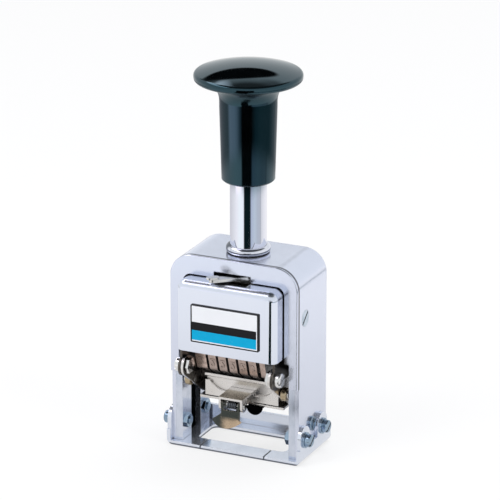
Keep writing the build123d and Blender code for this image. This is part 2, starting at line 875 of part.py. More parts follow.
# Number wheels: ten faces each, with a sawtooth ratchet ring on the right side
for number in range(wheel_count):
    wheel_left = first_wheel_x + number * wheel_pitch - wheel_width / 2
    with BuildPart() as digit_wheel:
        with BuildSketch(wheel_plane(wheel_left)):
            RegularPolygon(wheel_radius, wheel_faces)
        extrude(amount=wheel_width)
        with BuildSketch(wheel_plane(wheel_left + wheel_width)):
            add_ratchet_outline()
        extrude(amount=ratchet_thickness)
        with BuildSketch(wheel_plane(wheel_left)):
            Circle(wheel_recess_radius)
        extrude(amount=wheel_recess_depth, mode=Mode.SUBTRACT)
        with BuildSketch(wheel_plane(wheel_left)):
            Circle(axle_radius + running_gap)
        extrude(amount=wheel_width + ratchet_thickness, mode=Mode.SUBTRACT)
    finish(digit_wheel, f"digit_wheel_{number + 1}")

# Drive ratchet: narrow disc fixed to the last number wheel by its hub
with BuildPart() as drive_ratchet:
    with BuildSketch(wheel_plane(drive_disc_left - drive_disc_gap)):
        Circle(hub_ring_radius)
    extrude(amount=drive_disc_gap)
    with BuildSketch(wheel_plane(drive_disc_left)):
        RegularPolygon(wheel_radius, wheel_faces)
    extrude(amount=drive_disc_width)
    with BuildSketch(wheel_plane(drive_disc_left - drive_disc_gap)):
        Circle(axle_radius + running_gap)
    extrude(amount=drive_disc_gap + drive_disc_width, mode=Mode.SUBTRACT)
finish(drive_ratchet, "drive_ratchet")

# Prefix wheel: wider wheel set by hand, with a spacing ring on its right side
with BuildPart() as prefix_wheel:
    with BuildSketch(wheel_plane(prefix_left)):
        RegularPolygon(wheel_radius, wheel_faces)
    extrude(amount=prefix_width)
    with BuildSketch(wheel_plane(prefix_right)):
        Circle(hub_ring_radius)
    extrude(amount=wheel_pitch - wheel_width - prefix_gap)
    with BuildSketch(wheel_plane(prefix_left)):
        Circle(axle_radius + running_gap)
    extrude(amount=prefix_width + wheel_pitch - wheel_width, mode=Mode.SUBTRACT)
finish(prefix_wheel, "prefix_wheel")

# Feed pawl and index pawls: combs whose fingers drop into the gaps between wheels
for behind, shaft_y, name in (
    (1, pawl_shaft_y, "feed_pawl"),
    (-1, index_shaft_y, "index_pawls"),
):
    with BuildPart() as pawl_comb:
        first_finger_x = first_wheel_x + wheel_pitch / 2
        last_finger_x = last_wheel_x + wheel_pitch / 2
        with BuildSketch(side_plane(first_finger_x - pawl_hub_overhang)):
            with Locations((shaft_y, pawl_shaft_z)):
                Circle(pawl_hub_radius)
        extrude(amount=last_finger_x - first_finger_x + 2 * pawl_hub_overhang)
        tip_reach = ratchet_tip_radius + pawl_tip_gap
        tip_y = wheel_y + behind * tip_reach * cos(radians(pawl_tip_angle))
        tip_z = wheel_z + tip_reach * sin(radians(pawl_tip_angle))
        for number in range(wheel_count):
            finger_x = first_finger_x + number * wheel_pitch
            with BuildSketch(side_plane(finger_x - pawl_width / 2)):
                with BuildLine():
                    Polyline(
                        (shaft_y - behind * pawl_hub_radius / 2, pawl_shaft_z),
                        (tip_y, tip_z),
                        (tip_y + behind * pawl_heel, tip_z + pawl_heel / 2),
                        (shaft_y + behind * (pawl_hub_radius - pawl_root_inset), pawl_shaft_z),
                        close=True,
                    )
                make_face()
            extrude(amount=pawl_width)
        with BuildSketch(side_plane(first_finger_x - pawl_hub_overhang)):
            with Locations((shaft_y, pawl_shaft_z)):
                Circle(pawl_shaft_radius + running_gap)
        extrude(
            amount=last_finger_x - first_finger_x + 2 * pawl_hub_overhang,
            mode=Mode.SUBTRACT,
        )
    finish(pawl_comb, name)

# Lever post: riveted in the carriage roof, with a shoulder under the lever
post_place = (lever_pivot_x, lever_pivot_y)
post_top = lever_top + running_gap + lever_post_head
with BuildPart() as lever_post:
    with BuildSketch(Plane.XY.offset(carriage_ceiling - lever_post_head)):
        with Locations(post_place):
            Circle(lever_post_radius)
    extrude(amount=post_top - carriage_ceiling + lever_post_head)
    for disc_bottom, disc_top in (
        (carriage_ceiling - lever_post_head, carriage_ceiling),
        (carriage_top, lever_bottom - running_gap),
        (post_top - lever_post_head, post_top),
    ):
        with BuildSketch(Plane.XY.offset(disc_bottom)):
            with Locations(post_place):
                Circle(lever_shoulder_radius)
        extrude(amount=disc_top - disc_bottom)
finish(lever_post, "lever_post")

# Selector lever: flat tapered finger with a raised grip, out through the notch
with BuildPart() as selector_lever:
    with BuildSketch(Plane.XY.offset(lever_bottom)):
        with Locations(post_place):
            Circle(lever_hub_radius)
        with Locations((lever_tip_x, lever_tip_y)):
            Circle(lever_width / 2)
        make_hull()
        with Locations(post_place):
            Circle(lever_post_radius + running_gap, mode=Mode.SUBTRACT)
    extrude(amount=lever_thickness)
    lever_angle = degrees(
        atan2(lever_pivot_y - lever_tip_y, lever_pivot_x - lever_tip_x)
    )
    with BuildSketch(Plane.XY.offset(lever_top)):
        with Locations((lever_tip_x, lever_tip_y)):
            SlotOverall(lever_grip_length, lever_width - side_gap, rotation=lever_angle)
    extrude(amount=lever_grip_rise)
finish(selector_lever, "selector_lever")

# Inking arm: two flat arms, the bent tray between them and the tongue with its lugs
tray_heel = (tray_heel_y, tray_floor)
tray_corner = (tray_rear, tray_floor + tray_rear_rise)
apron_bottom = tray_floor + tray_sheet + apron_gap
wing_tip = apron_half_width - apron_tip_width
with BuildPart() as ink_arm:
    for side in (-1, 1):
        with BuildSketch(side_plane(side * arm_inner)):
            with Locations((pivot_y, pivot_z)):
                Circle(arm_ring_radius)
            with BuildLine():
                Polyline(
                    (arm_toe_y, tray_floor + arm_toe_rise),
                    tray_heel,
                    tray_corner,
                    (tray_rear, tray_rim),
                    close=True,
                )
            make_hull()
            with Locations((pivot_y, pivot_z)):
                Circle(pivot_pin_radius + running_gap, mode=Mode.SUBTRACT)
            with Locations((roller_y, roller_z)):
                Circle(roller_pin_radius + seat_gap, mode=Mode.SUBTRACT)
        extrude(amount=side * arm_sheet)
    with BuildSketch(side_plane(-arm_inner)):
        with BuildLine():
            Polyline((tray_front, tray_floor), tray_heel, tray_corner, (tray_rear, tray_rim))
            offset(amount=tray_sheet, side=Side.LEFT, kind=Kind.INTERSECTION)
        make_face()
    extrude(amount=2 * arm_inner)
    with BuildSketch(front_plane(tray_front)) as apron:
        wing = [
            (apron_half_width, apron_bottom),
            (apron_half_width, apron_top),
            (wing_tip, apron_top),
            (wing_tip - apron_cut_slope, apron_cut_bottom),
        ]
        Polygon(*wing, *[(-x, z) for x, z in reversed(wing)], align=None)
        fillet(apron.vertices().group_by(Axis.Y)[1], apron_cut_radius)
        wing_tips = apron.vertices().group_by(Axis.Y)[-1].sort_by(Axis.X)[1:-1]
        fillet(wing_tips, apron_tip_round)
        with Locations((0, tray_floor)):
            Rectangle(
                2 * tongue_half_width,
                tongue_top - tray_floor,
                align=(Align.CENTER, Align.MIN),
            )
    extrude(amount=-tray_sheet)
    with BuildSketch(Plane.XY.offset(tongue_top)):
        with Locations((0, tongue_front)):
            Rectangle(
                2 * tongue_half_width,
                tray_front + tray_sheet - tongue_front,
                align=(Align.CENTER, Align.MIN),
            )
    extrude(amount=-tray_sheet)
    for side in (-1, 1):
        with BuildSketch(side_plane(side * tongue_half_width)) as lug_outline:
            with Locations((tongue_front, lug_bottom)):
                Rectangle(
                    lug_depth, tongue_top - lug_bottom, align=(Align.MIN, Align.MIN)
                )
            fillet(lug_outline.vertices().group_by(Axis.Y)[0], lug_round)
            with Locations((latch_pin_y, latch_pin_z)):
                Circle(latch_pin_radius + seat_gap, mode=Mode.SUBTRACT)
        extrude(amount=-side * tray_sheet)
finish(ink_arm, "ink_arm")

# Pad cartridge: open trough that drops into the tray, with a lip that follows the wheels
cartridge_gap = tray_sheet + seat_room
pad_top = wheel_z - wheel_radius - pad_gap
cartridge_top = pad_top - pad_proud
cartridge_half = pad_half_length + cartridge_wall
with BuildPart() as pad_cartridge:
    with BuildSketch(side_plane(-cartridge_half)):
        with BuildLine():
            Polyline(
                (tray_front, tray_floor),
                tray_heel,
                tray_corner,
                (tray_rear, cartridge_top + cartridge_gap),
                (tray_front, cartridge_top + cartridge_gap),
                close=True,
            )
        make_face()
        offset(amount=-cartridge_gap, kind=Kind.INTERSECTION, mode=Mode.REPLACE)
    extrude(amount=2 * cartridge_half)
    pocket_front = tray_front + cartridge_gap + cartridge_wall
    pocket_rear = tray_rear - cartridge_gap - cartridge_wall
    pocket_floor = tray_corner[1] + pocket_floor_rise
    with BuildSketch(Plane.XY.offset(pocket_floor)):
        with Locations((0, (pocket_front + pocket_rear) / 2)):
            Rectangle(2 * pad_half_length, pocket_rear - pocket_front)
    extrude(amount=cartridge_top - pocket_floor, mode=Mode.SUBTRACT)
    with BuildSketch(side_plane(-cartridge_half)):
        with Locations((wheel_y, wheel_z)):
            Circle(wheel_radius + lip_gap + lip_sheet)
        with Locations((lip_front, cartridge_top)):
            Rectangle(
                pocket_front - lip_front,
                wheel_z - cartridge_top,
                align=(Align.MIN, Align.MIN),
                mode=Mode.INTERSECT,
            )
        with Locations((pocket_front, cartridge_top)):
            Rectangle(cartridge_wall, lip_root, align=(Align.MAX, Align.MIN))
        with Locations((wheel_y, wheel_z)):
            Circle(wheel_radius + lip_gap, mode=Mode.SUBTRACT)
    extrude(amount=2 * cartridge_half)
finish(pad_cartridge, "pad_cartridge")

# Ink pad: felt block that stands proud of the cartridge, just under the wheels
with BuildPart() as ink_pad:
    with BuildSketch(Plane.XY.offset(pocket_floor)):
        with Locations((0, (pocket_front + pocket_rear) / 2)):
            Rectangle(
                2 * (pad_half_length - seat_room),
                pocket_rear - pocket_front - 2 * seat_room,
            )
    extrude(amount=pad_top - pocket_floor)
    fillet(ink_pad.faces().sort_by(Axis.Z)[-1].edges(), pad_edge_round)
finish(ink_pad, "ink_pad")

# Cartridge tab: half-moon pull on a strip under the tray
tab_front = tray_front - tab_stand_off - tab_sheet
tab_top = tray_floor - running_gap
with BuildPart() as cartridge_tab:
    with BuildSketch(front_plane(tab_front)):
        with Locations((tab_centre_x, tab_top)):
            Circle(tab_radius)
            Rectangle(
                2 * tab_radius,
                2 * tab_radius,
                align=(Align.CENTER, Align.MIN),
                mode=Mode.SUBTRACT,
            )
    extrude(amount=-tab_sheet)
    with BuildSketch(Plane.XY.offset(tab_top)):
        with Locations((tab_centre_x, tab_front)):
            Rectangle(
                2 * tab_radius - tab_sheet, tab_strip_length, align=(Align.CENTER, Align.MIN)
            )
    extrude(amount=-tab_sheet)
finish(cartridge_tab, "cartridge_tab")

# Roller pins: riveted in the arms, with a cap that keeps each roller on
with BuildPart() as roller_pins:
    for side in (-1, 1):
        for start, end, radius in (
            (arm_inner, cap_left, roller_pin_radius),
            (cap_left, cap_left + roller_cap_thickness, roller_cap_radius),
        ):
            with BuildSketch(side_plane(side * start)):
                with Locations((roller_y, roller_z)):
                    Circle(radius)
            extrude(amount=side * (end - start))
finish(roller_pins, "roller_pins")

for side, name in ((-1, "cam_roller_left"), (1, "cam_roller_right")):
    with BuildPart() as cam_roller:
        with BuildSketch(side_plane(side * roller_left)):
            with Locations((roller_y, roller_z)):
                Circle(roller_radius)
        extrude(amount=side * roller_width)
        chamfer(cam_roller.edges().filter_by(GeomType.CIRCLE), roller_edge_chamfer)
        with BuildSketch(side_plane(side * roller_left)):
            with Locations((roller_y, roller_z)):
                Circle(roller_pin_radius + running_gap)
        extrude(amount=side * roller_width, mode=Mode.SUBTRACT)
    finish(cam_roller, name)

# Latch pin: headed pin across the lugs of the tongue
with BuildPart() as latch_pin:
    with BuildSketch(side_plane(-tongue_half_width)):
        with Locations((latch_pin_y, latch_pin_z)):
            Circle(latch_pin_radius)
    extrude(amount=2 * tongue_half_width)
    for side in (-1, 1):
        with BuildSketch(side_plane(side * tongue_half_width)):
            with Locations((latch_pin_y, latch_pin_z)):
                Circle(latch_head_radius)
        extrude(amount=side * latch_head_height)
finish(latch_pin, "latch_pin")

# Thumb latch: bowed fan on a web, with two ears that turn on the pin
ear_left = tongue_half_width - tray_sheet - latch_gap - latch_sheet
web_half = ear_left + latch_sheet
web_front = tongue_front - latch_gap
bow_centre = (latch_centre_x, web_front + latch_bow_radius)
with BuildPart() as thumb_latch:
    with BuildSketch(Plane.XY.offset(latch_bottom)):
        with Locations(bow_centre):
            Circle(latch_bow_radius)
            Circle(latch_bow_radius - latch_sheet, mode=Mode.SUBTRACT)
    extrude(amount=latch_fan_top - latch_bottom)
    with BuildSketch(front_plane(web_front)):
        with BuildLine():
            tip_left = (latch_centre_x - latch_half_width, latch_tip_z)
            tip_right = (latch_centre_x + latch_half_width, latch_tip_z)
            ThreePointArc(tip_left, (latch_centre_x, latch_bottom), tip_right)
            Polyline(
                tip_right,
                (latch_centre_x + latch_neck_reach, latch_fan_top),
                (-web_half, latch_fan_top),
                tip_left,
            )
        make_face()
    extrude(amount=-latch_bow_radius, mode=Mode.INTERSECT)
    with BuildSketch(front_plane(web_front)):
        with Locations((0, latch_fan_top - latch_lap)):
            Rectangle(
                2 * web_half,
                latch_pin_z + latch_ear_radius - latch_fan_top + latch_lap,
                align=(Align.CENTER, Align.MIN),
            )
        with Locations((0, latch_pin_z - latch_ear_radius)):
            Rectangle(
                2 * ear_left,
                2 * latch_ear_radius,
                align=(Align.CENTER, Align.MIN),
                mode=Mode.SUBTRACT,
            )
    extrude(amount=-latch_sheet)
    for side in (-1, 1):
        with BuildSketch(side_plane(side * ear_left)):
            with Locations((latch_pin_y, latch_pin_z)):
                Circle(latch_ear_radius)
            with Locations((web_front, latch_pin_z)):
                Rectangle(
                    latch_pin_y - web_front,
                    2 * latch_ear_radius,
                    align=(Align.MIN, Align.CENTER),
                )
            with Locations((latch_pin_y, latch_pin_z)):
                Circle(latch_pin_radius + running_gap, mode=Mode.SUBTRACT)
        extrude(amount=side * latch_sheet)
finish(thumb_latch, "thumb_latch")

# Latch spring: close coil round the pin, between the ears
latch_coil_radius = latch_pin_radius + latch_spring_room + latch_spring_wire / 2
latch_coil_length = 2 * latch_spring_half - latch_spring_wire
with BuildPart() as latch_spring:
    with BuildLine():
        latch_coil = Helix(
            latch_coil_length / latch_spring_turns,
            latch_coil_length,
            latch_coil_radius,
            center=(-latch_coil_length / 2, latch_pin_y, latch_pin_z),
            direction=(1, 0, 0),
        )
    with BuildSketch(Plane(origin=latch_coil @ 0, z_dir=latch_coil % 0)):
        Circle(latch_spring_wire / 2)
    sweep(is_frenet=True)
finish(latch_spring, "latch_spring")
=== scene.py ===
from math import cos, pi, radians, sin

import bmesh
import bpy
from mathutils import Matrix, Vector, noise

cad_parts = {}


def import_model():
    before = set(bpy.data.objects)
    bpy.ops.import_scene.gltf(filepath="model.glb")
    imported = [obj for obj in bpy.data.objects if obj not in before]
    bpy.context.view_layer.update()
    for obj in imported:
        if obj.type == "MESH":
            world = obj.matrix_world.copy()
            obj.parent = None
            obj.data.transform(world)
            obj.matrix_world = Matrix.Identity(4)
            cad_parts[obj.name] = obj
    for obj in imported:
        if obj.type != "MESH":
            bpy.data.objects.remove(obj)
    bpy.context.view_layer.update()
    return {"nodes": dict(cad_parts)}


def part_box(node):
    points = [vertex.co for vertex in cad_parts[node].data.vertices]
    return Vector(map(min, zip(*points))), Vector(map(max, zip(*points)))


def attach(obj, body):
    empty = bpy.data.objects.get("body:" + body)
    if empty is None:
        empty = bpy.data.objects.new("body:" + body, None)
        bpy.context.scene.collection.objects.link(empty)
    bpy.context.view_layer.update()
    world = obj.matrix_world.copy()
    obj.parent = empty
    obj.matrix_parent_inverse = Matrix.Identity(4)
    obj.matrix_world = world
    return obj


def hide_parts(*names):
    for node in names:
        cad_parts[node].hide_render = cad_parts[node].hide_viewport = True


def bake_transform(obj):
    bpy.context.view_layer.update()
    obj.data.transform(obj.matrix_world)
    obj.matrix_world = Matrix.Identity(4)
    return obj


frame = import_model()
nodes = frame["nodes"]

MM = 0.001

# Sizes that the scene's pieces share with the CAD part, in millimetres
WHEEL_Y, WHEEL_Z = -1.0, 37.6
WHEEL_RADIUS, WHEEL_FACES = 10.2, 10
WHEEL_APOTHEM = WHEEL_RADIUS * cos(pi / WHEEL_FACES)
WHEEL_PITCH, FIRST_WHEEL_X, PREFIX_WHEEL_X = 4.2, -10.2, -15.0
DIGIT_WHEELS = 5
RETURN_SPRING_X = 22.4
LATCH_PIN_Y, LATCH_PIN_Z = -14.2, 20.5


# ---------------------------------------------------------------- node trees
class Tree:
    """Short calls for building a shader tree."""

    def __init__(self, tree):
        self.tree = tree
        tree.nodes.clear()

    def node(self, kind, inputs=None, **settings):
        made = self.tree.nodes.new(kind)
        for key, value in settings.items():
            setattr(made, key, value)
        for key, value in (inputs or {}).items():
            self.put(made.inputs[key], value)
        return made

    def put(self, socket, value):
        """Link a socket or a node's first output, or write a plain value or colour."""
        if isinstance(value, bpy.types.NodeSocket):
            self.tree.links.new(value, socket)
        elif isinstance(value, bpy.types.Node):
            self.tree.links.new(value.outputs[0], socket)
        elif socket.type == "RGBA" and len(value) == 3:
            socket.default_value = (*value, 1.0)
        else:
            socket.default_value = value

    def math(self, operation, a, b=0.0, clamp=False):
        return self.node("ShaderNodeMath", {0: a, 1: b}, operation=operation,
                         use_clamp=clamp).outputs[0]

    def times(self, a, b):
        return self.math("MULTIPLY", a, b)

    def minus(self, a, b):
        return self.math("SUBTRACT", a, b)

    def span(self, value, low, high, to_low=0.0, to_high=1.0, smooth=False):
        """Value from low..high mapped to to_low..to_high, and held at both ends."""
        made = self.node("ShaderNodeMapRange", {0: value, 1: low, 2: high, 3: to_low, 4: to_high},
                         clamp=True, interpolation_type="SMOOTHSTEP" if smooth else "LINEAR")
        return made.outputs[0]

    def split(self, vector):
        return self.node("ShaderNodeSeparateXYZ", {0: vector}).outputs

    def length(self, vector):
        made = self.node("ShaderNodeVectorMath", {0: vector}, operation="LENGTH")
        return made.outputs["Value"]

    def stretched(self, vector, scale):
        return self.node("ShaderNodeMapping", {"Vector": vector, "Scale": scale}).outputs[0]

    def normal(self):
        return self.node("ShaderNodeNewGeometry").outputs["Normal"]

    def noise(self, vector, scale, detail=3.0, roughness=0.55):
        made = self.node("ShaderNodeTexNoise", {"Vector": vector, "Scale": scale,
                                                "Detail": detail, "Roughness": roughness})
        return made.outputs[0]

    def wander(self, cloud, reach):
        """Uneven shift that a noise gives to the borders of ink and of painted reflections."""
        return self.times(self.minus(cloud, 0.5), reach)

    def mix(self, factor, a, b, blend="MIX"):
        made = self.node("ShaderNodeMix", {0: factor, 6: a, 7: b}, data_type="RGBA",
                         blend_type=blend)
        return made.outputs[2]

    def ramp(self, factor, stops, interpolation="LINEAR"):
        """Colour ramp through pairs of position and colour."""
        made = self.node("ShaderNodeValToRGB", {0: factor})
        made.color_ramp.interpolation = interpolation
        elements = made.color_ramp.elements
        while len(elements) < len(stops):
            elements.new(1.0)
        for element, (position, colour) in zip(elements, stops):
            element.position = position
            element.color = (*colour, 1.0)
        return made.outputs[0]

    def rounded(self, radius):
        """Normal that rounds off the edges."""
        return self.node("ShaderNodeBevel", {"Radius": radius}, samples=4).outputs[0]

    def edges(self, rounded):
        """Mask that is 1 where the rounded normal leaves the plain one."""
        dot = self.node("ShaderNodeVectorMath", {0: rounded, 1: self.normal()},
                        operation="DOT_PRODUCT")
        return self.span(dot.outputs["Value"], 0.995, 0.90)

    def bump(self, height, strength, distance, normal=None):
        made = self.node("ShaderNodeBump", {"Strength": strength, "Distance": distance,
                                            "Height": height})
        if normal is not None:
            self.put(made.inputs["Normal"], normal)
        return made.outputs[0]

    def mirror_rays(self, light):
        """1 for rays that come from a mirror or through glass."""
        return self.math("ADD", light.outputs["Is Glossy Ray"],
                         light.outputs["Is Transmission Ray"], clamp=True)

    def mix_shader(self, factor, a, b):
        return self.node("ShaderNodeMixShader", {0: factor, 1: a, 2: b}).outputs[0]

    def surface(self, shader, output="ShaderNodeOutputMaterial"):
        self.node(output, {"Surface": shader})

    def principled(self, inputs):
        self.surface(self.node("ShaderNodeBsdfPrincipled", inputs))


def new_tree(name):
    """A material, its empty tree, and the coordinates of the object in that tree."""
    material = bpy.data.materials.new(name)
    material.use_nodes = True
    t = Tree(material.node_tree)
    return material, t, t.node("ShaderNodeTexCoord").outputs["Object"]


def azimuth(t, x, y):
    """Angle round the machine's axis: 0 is the front, positive to the right."""
    return t.math("ARCTAN2", x, t.times(y, -1.0))


# ---------------------------------------------------------------- metals and plastics
CLOUD_SPAN = (0.38, 0.72)
GRAIN_SCALE, SMEAR_SCALE, WAVE_SCALE = 2600.0, 320.0, 48.0
# SEAM_SHADE_TONE is the colour of painted shade along joints
SEAM_SHADE_TONE = (0.03, 0.032, 0.045)


def crevice_shade(t, colour, reach):
    """Painted shade: a dark line in crevices and where pieces meet."""
    nook = t.node("ShaderNodeAmbientOcclusion", {"Distance": reach}, samples=8)
    share = t.times(t.span(nook.outputs["AO"], 0.62, 0.22, smooth=True), 0.9)
    return t.mix(share, colour, (0.02, 0.022, 0.028))


def metal(name, tone, dark, rough, edge, edge_tone=None, grain=(1, 1, 1), grain_bump=0.02,
          wave=0.0, blotch=60.0, dirt=0.25, metallic=1.0, nook=0.0006, extra=None, dull=None):
    """Plated or turned metal: cloudy tone, uneven polish, fine grain, soft bright edges, painted
    shade in crevices.

    edge is the radius of the edges, blotch the scale of the clouds, dirt their strength and
    nook the reach of the painted shade in crevices. extra adds to the colour, dull to the
    roughness.
    """
    material, t, place = new_tree(name)
    rounded = t.rounded(edge)
    cloud = t.noise(place, blotch, 4.0)
    colour = t.mix(t.span(cloud, *CLOUD_SPAN, 0.0, dirt), tone, dark)
    if edge_tone:
        colour = t.mix(t.times(t.edges(rounded), 0.6), colour, edge_tone)
    if extra:
        colour = extra(t, place, colour)
    # Painted shade in crevices and where pieces meet
    colour = crevice_shade(t, colour, nook)
    fine = t.noise(t.stretched(place, grain), GRAIN_SCALE, 2.0, 0.6)
    smear = t.noise(place, SMEAR_SCALE, 5.0, 0.6)
    polish = t.span(smear, 0.3, 0.7, *rough)
    normal = t.bump(t.math("ADD", t.times(fine, 0.35), t.times(smear, 0.65)), grain_bump, 0.0002,
                    rounded)
    if wave:
        normal = t.bump(t.noise(place, WAVE_SCALE, 1.0), wave, 0.002, normal)
    t.principled({"Base Color": colour, "Metallic": metallic,
                  "Roughness": dull(t, place, polish) if dull else polish, "Normal": normal})
    return material


def gloss(name, tone, rough, level, tint=(1.0, 1.0, 1.0), wave=0.0, under=None):
    """Polished plastic or lacquer with faint handling marks.

    level is the strength of the reflections, and under the roughness of faces that look down.
    """
    material, t, place = new_tree(name)
    smear = t.noise(place, 180.0, 5.0, 0.65)
    fine = t.noise(place, 1800.0, 2.0, 0.6)
    handled = tuple(1.6 * c + 0.0006 for c in tone)
    normal = t.bump(fine, 0.008, 0.0002, t.rounded(0.00025))
    if wave:
        normal = t.bump(t.noise(place, 60.0, 1.0), wave, 0.001, normal)
    polish = t.span(smear, 0.3, 0.75, *rough)
    if under is not None:
        drop = t.split(t.normal())[2]
        polish = t.math("MAXIMUM", polish, t.span(drop, -0.08, -0.35, 0.0, under))
    t.principled({"Base Color": t.mix(t.span(smear, 0.35, 0.75), tone, handled),
                  "Roughness": polish, "Normal": normal, "Specular Tint": tint,
                  "Specular IOR Level": level})
    return material


def seam(t, place, colour):
    """Painted shade: a dark line along the joint at the rear edge of the front plate."""
    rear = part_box("front_plate")[1].y
    deep = t.split(place)[1]
    near = t.times(t.span(deep, rear - 0.0010, rear - 0.0004),
                   t.math("LESS_THAN", deep, rear + 0.0004))
    # Painted shade along the joint
    return t.mix(t.times(near, 0.9), colour, SEAM_SHADE_TONE)


def stained_arm(t, place, colour):
    """Olive stain on top of the tongue, and the inner faces of both arms dark, near black."""
    x, y, z = t.split(place)
    aside = t.math("ABSOLUTE", x)
    tongue_half, tongue_top, lug_tops, arm_inside = 0.0050, 0.02375, 0.0246, 0.0125
    stain_starts_y, stain_full_y = -0.0072, -0.0092
    ahead = t.span(y, stain_starts_y, stain_full_y, smooth=True)
    middle = t.span(aside, tongue_half, tongue_half - 0.0001)
    top = t.times(t.span(z, tongue_top, tongue_top + 0.0001), t.math("LESS_THAN", z, lug_tops))
    stain = t.times(t.times(ahead, middle), top)
    colour = t.mix(t.times(stain, 0.85), colour, (0.40, 0.345, 0.26))

    inward = t.times(t.split(t.normal())[0], t.math("SIGN", x))
    inner_faces = t.times(t.span(inward, -0.55, -0.8), t.math("GREATER_THAN", aside, arm_inside))
    cloud = t.noise(place, 260.0, 4.0, 0.6)
    inner_dark = t.mix(t.span(cloud, 0.4, 0.7), (0.035, 0.030, 0.024), (0.12, 0.10, 0.075))
    return t.mix(t.times(inner_faces, 0.95), colour, inner_dark)


def screw_tone(t, place, colour):
    """Painted shade in the slots of the heads at the sides of the case."""
    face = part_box("side_screws")[1].x
    out = t.math("ABSOLUTE", t.split(place)[0])
    # Painted shade in the slots
    return t.mix(t.span(out, face - 0.00012, face - 0.0002, 0.0, 0.95), colour,
                 (0.015, 0.02, 0.025))


def dull_top(t, place, polish):
    """Less polish along the top bend of the cover, which the buffing wheel doesn't reach."""
    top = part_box("front_cover")[1].z
    height = t.split(place)[2]
    return t.math("MAXIMUM", polish, t.span(height, top - 0.0034, top - 0.0026, 0.0, 0.25))


def collar_tone(t, place, colour):
    """Painted shade in the groove round the collar's bead, and a patch of painted dark reflection
    on its left.
    """
    x, y, z = t.split(place)
    groove_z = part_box("collar_bush")[1].z - 0.0016
    # Painted shade in the groove
    groove = t.span(t.math("ABSOLUTE", t.minus(z, groove_z)), 0.00034, 0.00012)
    # Painted dark reflection on the left side
    uneven = t.wander(t.noise(place, 330.0, 3.0), 1.3)
    turned = t.math("ADD", azimuth(t, x, y), radians(62))
    patch = t.span(t.math("ABSOLUTE", t.math("ADD", turned, uneven)), radians(30), radians(16))
    share = t.math("MAXIMUM", groove, patch)
    return t.mix(t.times(share, 0.88), colour, (0.02, 0.035, 0.055))


def base_frame_tone(t, place, colour):
    """Ink in the two alignment marks, and a painted shade line where the plate rests on the
    paper.
    """
    x, y, z = t.split(place)
    mark_half, marks_end_y = 0.00030, -0.0068
    for mark_x in (-0.0138, 0.0129):
        off = t.math("ABSOLUTE", t.minus(x, mark_x))
        mark = t.times(t.math("LESS_THAN", off, mark_half), t.math("LESS_THAN", y, marks_end_y))
        colour = t.mix(t.times(mark, 0.85), colour, (0.03, 0.035, 0.05))
    # Painted shade along the bottom, where the plate rests on the paper
    return t.mix(t.span(z, 0.00070, 0.00050, 0.0, 0.85), colour, (0.035, 0.045, 0.075))


